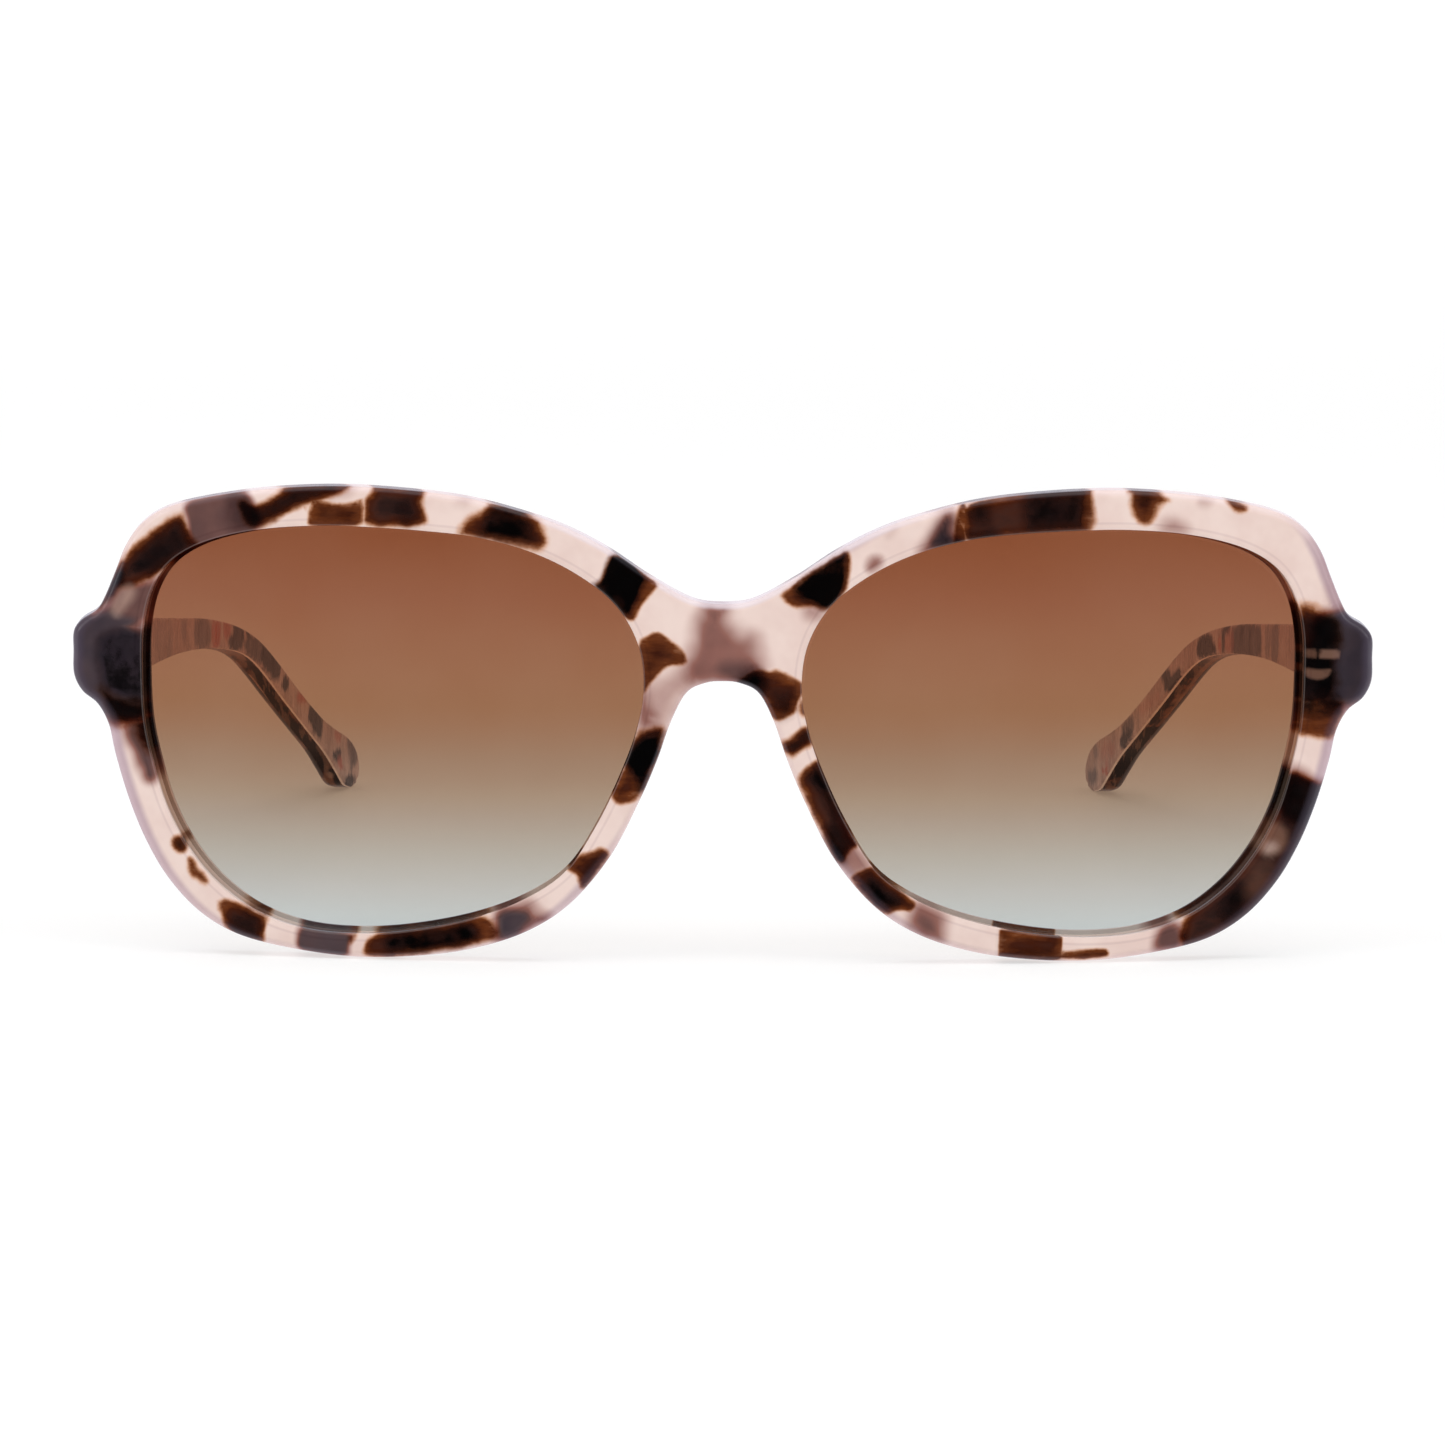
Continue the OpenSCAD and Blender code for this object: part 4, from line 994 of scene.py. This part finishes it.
def painted_edge_light(m, colour):
    """Painted light on the front's edges: painted mauve shade and a painted lavender sheen on the
    rounded flanks, a painted pale highlight along the crest, a painted highlight line at the openings'
    lip, and a darker line a little further out from the openings.
    """
    flank_shade = m.attr("flank_shade")
    # painted shade: mauve darkening near the outline, strongest on the sideways-facing flanks
    rim = m.span(m.attr("rim"), start=m.add(0.7, m.mul(flank_shade, 0.95)),
                 end=m.add(0.25, m.mul(flank_shade, 0.5)))
    rim = m.mul(rim, m.add(0.14, m.mul(flank_shade, 0.80)))
    colour = m.mix(rim, colour, m.tint(colour, (0.66, 0.60, 0.72, 1)))
    # painted sheen: a little lavender lightening there
    colour = m.mix(m.mul(rim, 0.12), colour, lin(150, 138, 160))
    # painted highlight: a pale lavender band along the upward-facing crest
    crest_highlight = m.mul(m.attr("crest_highlight"), m.span(m.attr("rim"), start=0.75, end=0.30))
    grey = m.node("RGBToBW", {0: colour}).outputs[0]
    crest_highlight = m.mul(m.mul(crest_highlight, 0.62), m.span(grey, start=0.03, end=0.35))   # spares the dark flakes
    colour = m.mix(crest_highlight, colour, m.mix(0.75, colour, lin(226, 220, 232)))
    # painted highlight: a thin light line at the openings' lip
    light = m.line(m.attr("lipd"), centre=0.09, outer=0.10, inner=0.02)
    colour = m.mix(m.mul(light, 0.10), colour, lin(214, 196, 190))
    groove = m.line(m.attr("lipd"), centre=0.72, outer=0.22, inner=0.03)
    return m.mix(m.mul(groove, 0.22), colour, m.tint(colour, (0.55, 0.46, 0.52, 1)))


def acetate(name, dusk=False):
    """Polished blush acetate with amber, brown and black flakes and a mauve film.
    With dusk, the ground itself is smoky brown, streaked along the length."""
    m = material(name)
    at = m.where()
    slow = m.swing(m.noise(at, scale=0.28, detail=1, rough=0.4), amount=0.85)
    wobble = m.add(m.swing(m.noise(at, scale=0.28), amount=0.85),
                   m.add(m.swing(m.noise(at, scale=0.95), amount=0.30),
                         m.swing(m.noise(at, scale=4.0, rough=0.6), amount=0.05)))
    streak = m.noise(m.where((1000, 160, 700) if dusk else (260, 1000, 900)),
                     scale=0.9, detail=4, rough=0.65)
    brown = m.flake("brown", wobble, share=0.8, softness=0.30)
    brown_depth = m.span(m.add(m.attr("brown_t"), wobble), start=0.0, end=-1.9)
    dark = m.mul(m.flake("dark", wobble, share=0.5, softness=0.36), m.attr("dark_k"))
    veil = m.mul(m.flake("veil", slow, share=0.7, softness=0.42),
                 m.add(m.attr("veil_k"), m.swing(m.noise(at, scale=0.22), amount=0.22)))
    pale = m.mul(m.flake("pale", wobble, share=0.25, softness=0.28), m.attr("pale_k"))
    cloud = m.noise(at, scale=0.16, detail=3, rough=0.6)
    if dusk:
        ground = m.mix(m.span(streak, start=0.40, end=0.60), lin(134, 92, 72), lin(48, 30, 26))
        clouded = m.mul(m.span(cloud, start=0.55, end=0.72), 0.7)
        ground = m.mix(clouded, ground, lin(176, 140, 120))
    else:
        clouded = m.span(cloud, start=0.35, end=0.68)
        ground = m.mix(clouded, lin(244, 221, 212), lin(237, 211, 202))
    colour = m.tint(ground, m.ramp(veil, VEIL_FILM))
    # the stain starts at 0.44 at a flake's edge and deepens inward, by the flake's strength
    deepen = m.add(0.06, m.mul(m.add(m.attr("brown_k"), m.swing(cloud, amount=0.7)), 0.46))
    stain = m.add(m.add(0.44, m.mul(brown_depth, deepen)), m.swing(streak, amount=0.42))
    colour = m.tint(colour, m.ramp(m.mul(brown, stain, clamp=True), AMBER_STAIN))
    # clouds thin the black core to 0.8 at most
    patchy = m.span(m.noise(at, scale=0.33, detail=3, rough=0.6), start=0.35, end=0.6)
    dark = m.mul(dark, m.add(0.80, m.mul(patchy, 0.20)))
    colour = m.tint(colour, m.ramp(dark, BLACK_CORE))
    glint = m.mix(m.span(m.attr("pale_k"), start=0.30, end=0.75),
                  lin(176, 124, 100), lin(222, 192, 178))
    colour = m.mix(m.mul(pale, 0.85), colour, glint)
    # on the front, painted shade, sheen and highlights go on at the edges
    colour = underside(m, colour) if dusk else painted_edge_light(m, colour)
    inputs = {"Base Color": colour,
              "Roughness": m.span(m.noise(at, scale=0.8), start=0.3, end=0.7, low=0.12, high=0.2),
              "IOR": 1.49,
              "Normal": m.bump(m.noise(at, scale=0.22), strength=0.05, distance=0.0004)}
    if dusk:
        specular = m.span(m.attr("under"), start=0.2, end=0.8, low=0.5, high=0.08)
    else:
        dull = m.mul(m.attr("top"), m.span(m.attr("rim"), start=1.0, end=0.2))
        specular = m.span(dull, start=0.0, end=1.0, low=0.5, high=0.16)
        # painted light: the rear part of the openings' walls glows a little, standing in for light
        # through the translucent acetate
        wall = m.mul(m.span(m.attr("lipd"), start=0.02, end=0.0),
                     m.span(m.attr("deep"), start=0.45, end=0.58))
        inputs.update({"Emission Color": colour, "Emission Strength": m.mul(wall, 0.35)})
    return m.principled({**inputs, "Specular IOR Level": specular})


# Lens tint by height from the datum, and the heights where its ramp starts and ends.
TINT_FOOT, TINT_HEAD = -27.0, 25.0
LENS_TINT = {
    -24.0: (198, 206, 206), -19.6: (190, 189, 184), -15.0: (178, 170, 158),
    -10.8: (168, 150, 133), -8.7: (164, 141, 120), -6.7: (159, 131, 109), -4.7: (155, 124, 101),
    -2.7: (153, 117, 92), -0.7: (152, 111, 84), 1.3: (151, 107, 78), 4.6: (152, 105, 77),
    9.4: (150, 99, 72), 13.4: (146, 91, 65), 20.1: (138, 79, 51)}


def lens_tint(name):
    """Brown gradient tint, deep at the top and nearly clear grey-green at the foot."""
    m = material(name)
    z = m.mul(m.node("SeparateXYZ", {0: m.where((1, 1, 1))}).outputs[2], 1000.0)
    height = m.span(z, start=DATUM + TINT_FOOT, end=DATUM + TINT_HEAD, kind="LINEAR")
    # light passes both faces of the lens, so each holds the square root of the tint
    tint = m.ramp(height, {(z - TINT_FOOT) / (TINT_HEAD - TINT_FOOT):
                           tuple(math.sqrt(c) for c in lin(*rgb)[:3])
                           for z, rgb in LENS_TINT.items()})
    cloud = m.span(m.noise(m.where(), scale=0.06), start=0.3, end=0.7)
    soft = m.mix(m.mul(cloud, 0.05), tint, (0.75, 0.7, 0.66, 1))
    clear = m.node("BsdfTransparent", {"Color": soft})
    shine = m.node("BsdfGlossy", {"Roughness": 0.03, "Color": (0.9, 0.92, 1.0, 1)})
    fresnel = m.node("Fresnel", {"IOR": 1.45}).outputs[0]
    back = m.node("NewGeometry").outputs["Backfacing"]
    share = m.mul(m.mul(fresnel, 0.7), m.math("SUBTRACT", 1.0, back))
    return m.finish(m.node("MixShader", {0: share, 1: clear.outputs[0],
                                         2: shine.outputs[0]}).outputs[0])


def cream(name):
    m = material(name)
    grain = m.noise(m.where((1000, 260, 1000)), scale=0.7, detail=3, rough=0.6)
    colour = m.mix(m.span(grain, start=0.3, end=0.7), lin(240, 230, 224), lin(222, 208, 200))
    # painted light: the emission makes the thin liner glow, so its line between the layers reads
    # bright
    return m.principled({"Base Color": colour, "Roughness": 0.3, "IOR": 1.48,
                         "Emission Color": colour, "Emission Strength": 0.30})


def paper_print(name, seed):
    """Painterly paper print: pinkish ground, broad grey brush dabs with bristle marks and dull
    red dabs."""
    m = material(name)
    at = m.node("VectorMath", {0: m.where(), 1: (seed * 13.0, seed * 29.0, seed * 7.0)},
                operation="ADD").outputs[0]

    def stretched(y, z, turn):
        return m.mapping(at, (1.0, y, z), (turn, 0, 0))

    ground = m.mix(m.span(m.noise(at, scale=0.10, detail=3, rough=0.6), start=0.35, end=0.65),
                   lin(230, 211, 212), lin(205, 182, 182))
    bristle = m.noise(stretched(y=0.62, z=0.16, turn=0.18), scale=1.3, detail=4, rough=0.7, warp=0.5)
    fine = m.noise(stretched(y=1.6, z=0.3, turn=0.25), scale=1.4, detail=3, rough=0.6, warp=0.3)
    edge = m.add(m.swing(bristle, amount=2.2), m.swing(m.noise(at, scale=0.5), amount=1.2))
    dab = m.mul(m.span(m.add(m.attr("dab"), edge), start=0.95, end=-0.35), m.attr("dab_k"))
    wash = m.span(m.noise(stretched(y=0.45, z=0.22, turn=0.15), scale=0.55, detail=3, rough=0.6,
                          warp=0.4), start=0.47, end=0.62)
    colour = m.mix(m.mul(wash, 0.34), ground, lin(158, 147, 150))
    slate = m.mix(m.span(m.add(m.attr("dab_k"), m.swing(bristle, amount=0.9)), start=0.35, end=1.05),
                  lin(134, 134, 150), lin(58, 63, 80))
    cover = m.mul(dab, m.add(1.22, m.swing(fine, amount=0.9)), clamp=True)
    colour = m.mix(cover, colour, slate)
    red = m.mul(m.span(m.add(m.attr("red"), edge), start=0.6, end=-0.5), m.attr("red_k"))
    cover = m.mul(red, m.add(0.9, m.swing(bristle, amount=1.4)), clamp=True)
    colour = m.mix(cover, colour, lin(206, 116, 112))
    return m.principled({
        "Base Color": colour, "IOR": 1.48,
        "Roughness": m.span(bristle, start=0.3, end=0.7, low=0.2, high=0.32),
        "Normal": m.bump(bristle, strength=0.05, distance=0.0002)})


def metal(name, rgb, rough, brush=(1000, 1000, 200)):
    """Brushed metal with darker wear and softened edges; brush stretches the grain."""
    m = material(name)
    grain = m.noise(m.where(brush), scale=3.0, detail=4, rough=0.6)
    wear = m.span(m.noise(m.where(), scale=0.9, detail=3, rough=0.6), start=0.4, end=0.7)
    colour = m.mix(m.mul(wear, 0.5), lin(*rgb), lin(*[c * 0.72 for c in rgb]))
    soft = m.node("Bevel", {"Radius": 0.00012}, samples=6).outputs[0]
    return m.principled({
        "Base Color": colour, "Metallic": 1.0,
        "Roughness": m.span(grain, start=0.3, end=0.7, low=rough * 0.7, high=rough * 1.35),
        "Normal": m.bump(grain, strength=0.12, distance=0.00005, normal=soft)})


blush = acetate("acetate_blush_tortoise")
dark_tortoise = acetate("acetate_dark_tortoise", dusk=True)
brown_lens = lens_tint("lens_brown_gradient")
liner_cream = cream("acetate_cream")
prints = {1: paper_print("paper_print_left", seed=1), -1: paper_print("paper_print_right", seed=2)}
hinge_steel = metal("hinge_steel", (196, 186, 176), rough=0.3)
screw_steel = metal("screw_steel", (205, 200, 194), rough=0.24, brush=(400, 400, 1000))
wire_metal = metal("core_wire", (178, 178, 182), rough=0.34, brush=(1000, 200, 1000))


def dress(piece, skin, body, node):
    """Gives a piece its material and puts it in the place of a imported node."""
    piece.data.materials.clear()
    piece.data.materials.append(skin)
    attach(piece, body)
    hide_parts(node)


dress(front, blush, "front", "front_frame")
for side, word in SIDES.items():
    dress(lenses[side], brown_lens, "front", "lens_" + word)
    dress(pads[side], blush, "front", "nose_pad_" + word)
    outer, liner, paper = temples[side]
    body = "temple_" + word
    dress(outer, dark_tortoise, body, "temple_outer_" + word)
    dress(liner, liner_cream, body, "temple_liner_" + word)
    dress(paper, prints[side], body, "temple_print_" + word)

# packed metal parts; the first word found in a node's name decides
METALS = (("hinge_screws", screw_steel), ("hinge", hinge_steel), ("core_wire", wire_metal))
for name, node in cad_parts.items():
    skin = next((skin for word, skin in METALS if word in name), None)
    if skin is None:
        continue
    node.data.materials.clear()
    node.data.materials.append(skin)
    node.data.polygons.foreach_set("use_smooth", [False] * len(node.data.polygons))

# ---------------------------------------------------------------- floor, light and camera, metres
FLOOR_RADIUS, FLOOR_SIDES, FLOOR_Z = 9, 96, -0.0002


def floor_white():
    """Matt white that glows more with distance from the origin."""
    m = material("floor_white")
    at = m.where((1, 1, 1))
    colour = m.mix(m.span(m.noise(at, scale=1.5), start=0.3, end=0.7),
                   lin(176, 176, 176), lin(174, 174, 174))
    away = m.node("VectorMath", {0: at}, operation="LENGTH").outputs["Value"]
    glow = m.span(away, start=0.22, end=1.9, low=0.60, high=0.86)
    return m.principled({"Base Color": colour, "Roughness": 0.9, "Specular IOR Level": 0.0,
                         "Emission Color": (1, 1, 1, 1), "Emission Strength": glow})


def build_floor():
    data = bpy.data.meshes.new("floor")
    ring = [(FLOOR_RADIUS * math.cos(a), FLOOR_RADIUS * math.sin(a), FLOOR_Z)
            for a in np.linspace(0, 2 * math.pi, FLOOR_SIDES + 1)[:-1]]
    data.from_pydata(ring, [], [list(range(FLOOR_SIDES))])
    floor = bpy.data.objects.new("floor", data)
    data.materials.append(floor_white())
    bpy.context.scene.collection.objects.link(floor)
    floor.visible_glossy = False


def softbox(name, at, aim, size, power):
    light = bpy.data.lights.new(name, "AREA")
    light.shape = "RECTANGLE"
    light.size, light.size_y = size
    light.energy = power
    box = bpy.data.objects.new(name, light)
    box.location = at
    box.rotation_euler = (Vector(aim) - Vector(at)).to_track_quat("-Z", "Y").to_euler()
    bpy.context.scene.collection.objects.link(box)
    box.visible_camera = False


def build_world():
    """White to the camera, dimmer as light; reflections see a dark flag around the camera."""
    world = Graph(bpy.data.worlds.new("studio"), "World")
    path = world.node("LightPath").outputs
    glossy, camera_ray = path["Is Glossy Ray"], path["Is Camera Ray"]
    direction = world.node("SeparateXYZ", {0: world.node("TexCoord").outputs["Generated"]})
    flag = world.span(direction.outputs[1], start=-0.88, end=-0.25, low=0.03, high=1.0)
    ambient = 0.52
    strength = world.mix_value(camera_ray, world.mix_value(glossy, ambient, flag), 1.0)
    colour = world.mix(glossy, (1, 1, 1, 1), (0.90, 0.89, 1.0, 1))
    background = world.node("Background", {"Strength": strength, "Color": colour})
    bpy.context.scene.world = world.finish(background.outputs[0])


def build_camera():
    data = bpy.data.cameras.new("camera")
    data.sensor_width = 36.0
    data.lens = 202.8
    data.clip_start, data.clip_end = 0.01, 50.0
    camera = bpy.data.objects.new("camera", data)
    bpy.context.scene.collection.objects.link(camera)
    camera.location = (0, -0.9657, 0.1413)
    bridge = Vector((0, -ORIGIN_Y / 1000, DATUM / 1000))
    look = (bridge - camera.location).to_track_quat("-Z", "Y").to_matrix().to_4x4()
    roll = Matrix.Rotation(0.0054, 4, "Z")
    camera.matrix_world = Matrix.Translation(camera.location) @ look @ roll
    bpy.context.scene.camera = camera


build_floor()
softbox("softbox_top", at=(0, -0.15, 1.1), aim=(0, 0, 0.03), size=(1.3, 1.0), power=7.2)
for name, x in (("softbox_left", -0.95), ("softbox_right", 0.95)):     # as the camera sees them
    softbox(name, at=(x, -0.5, 0.55), aim=(0, -0.05, 0.03), size=(0.5, 0.9), power=2.4)
build_world()
build_camera()

scene = bpy.context.scene
scene.view_settings.view_transform = "Standard"
scene.view_settings.look = "None"
scene.cycles.use_denoising = True
scene.cycles.transparent_max_bounces = 16
scene.cycles.max_bounces = 8

bpy.context.view_layer.update()
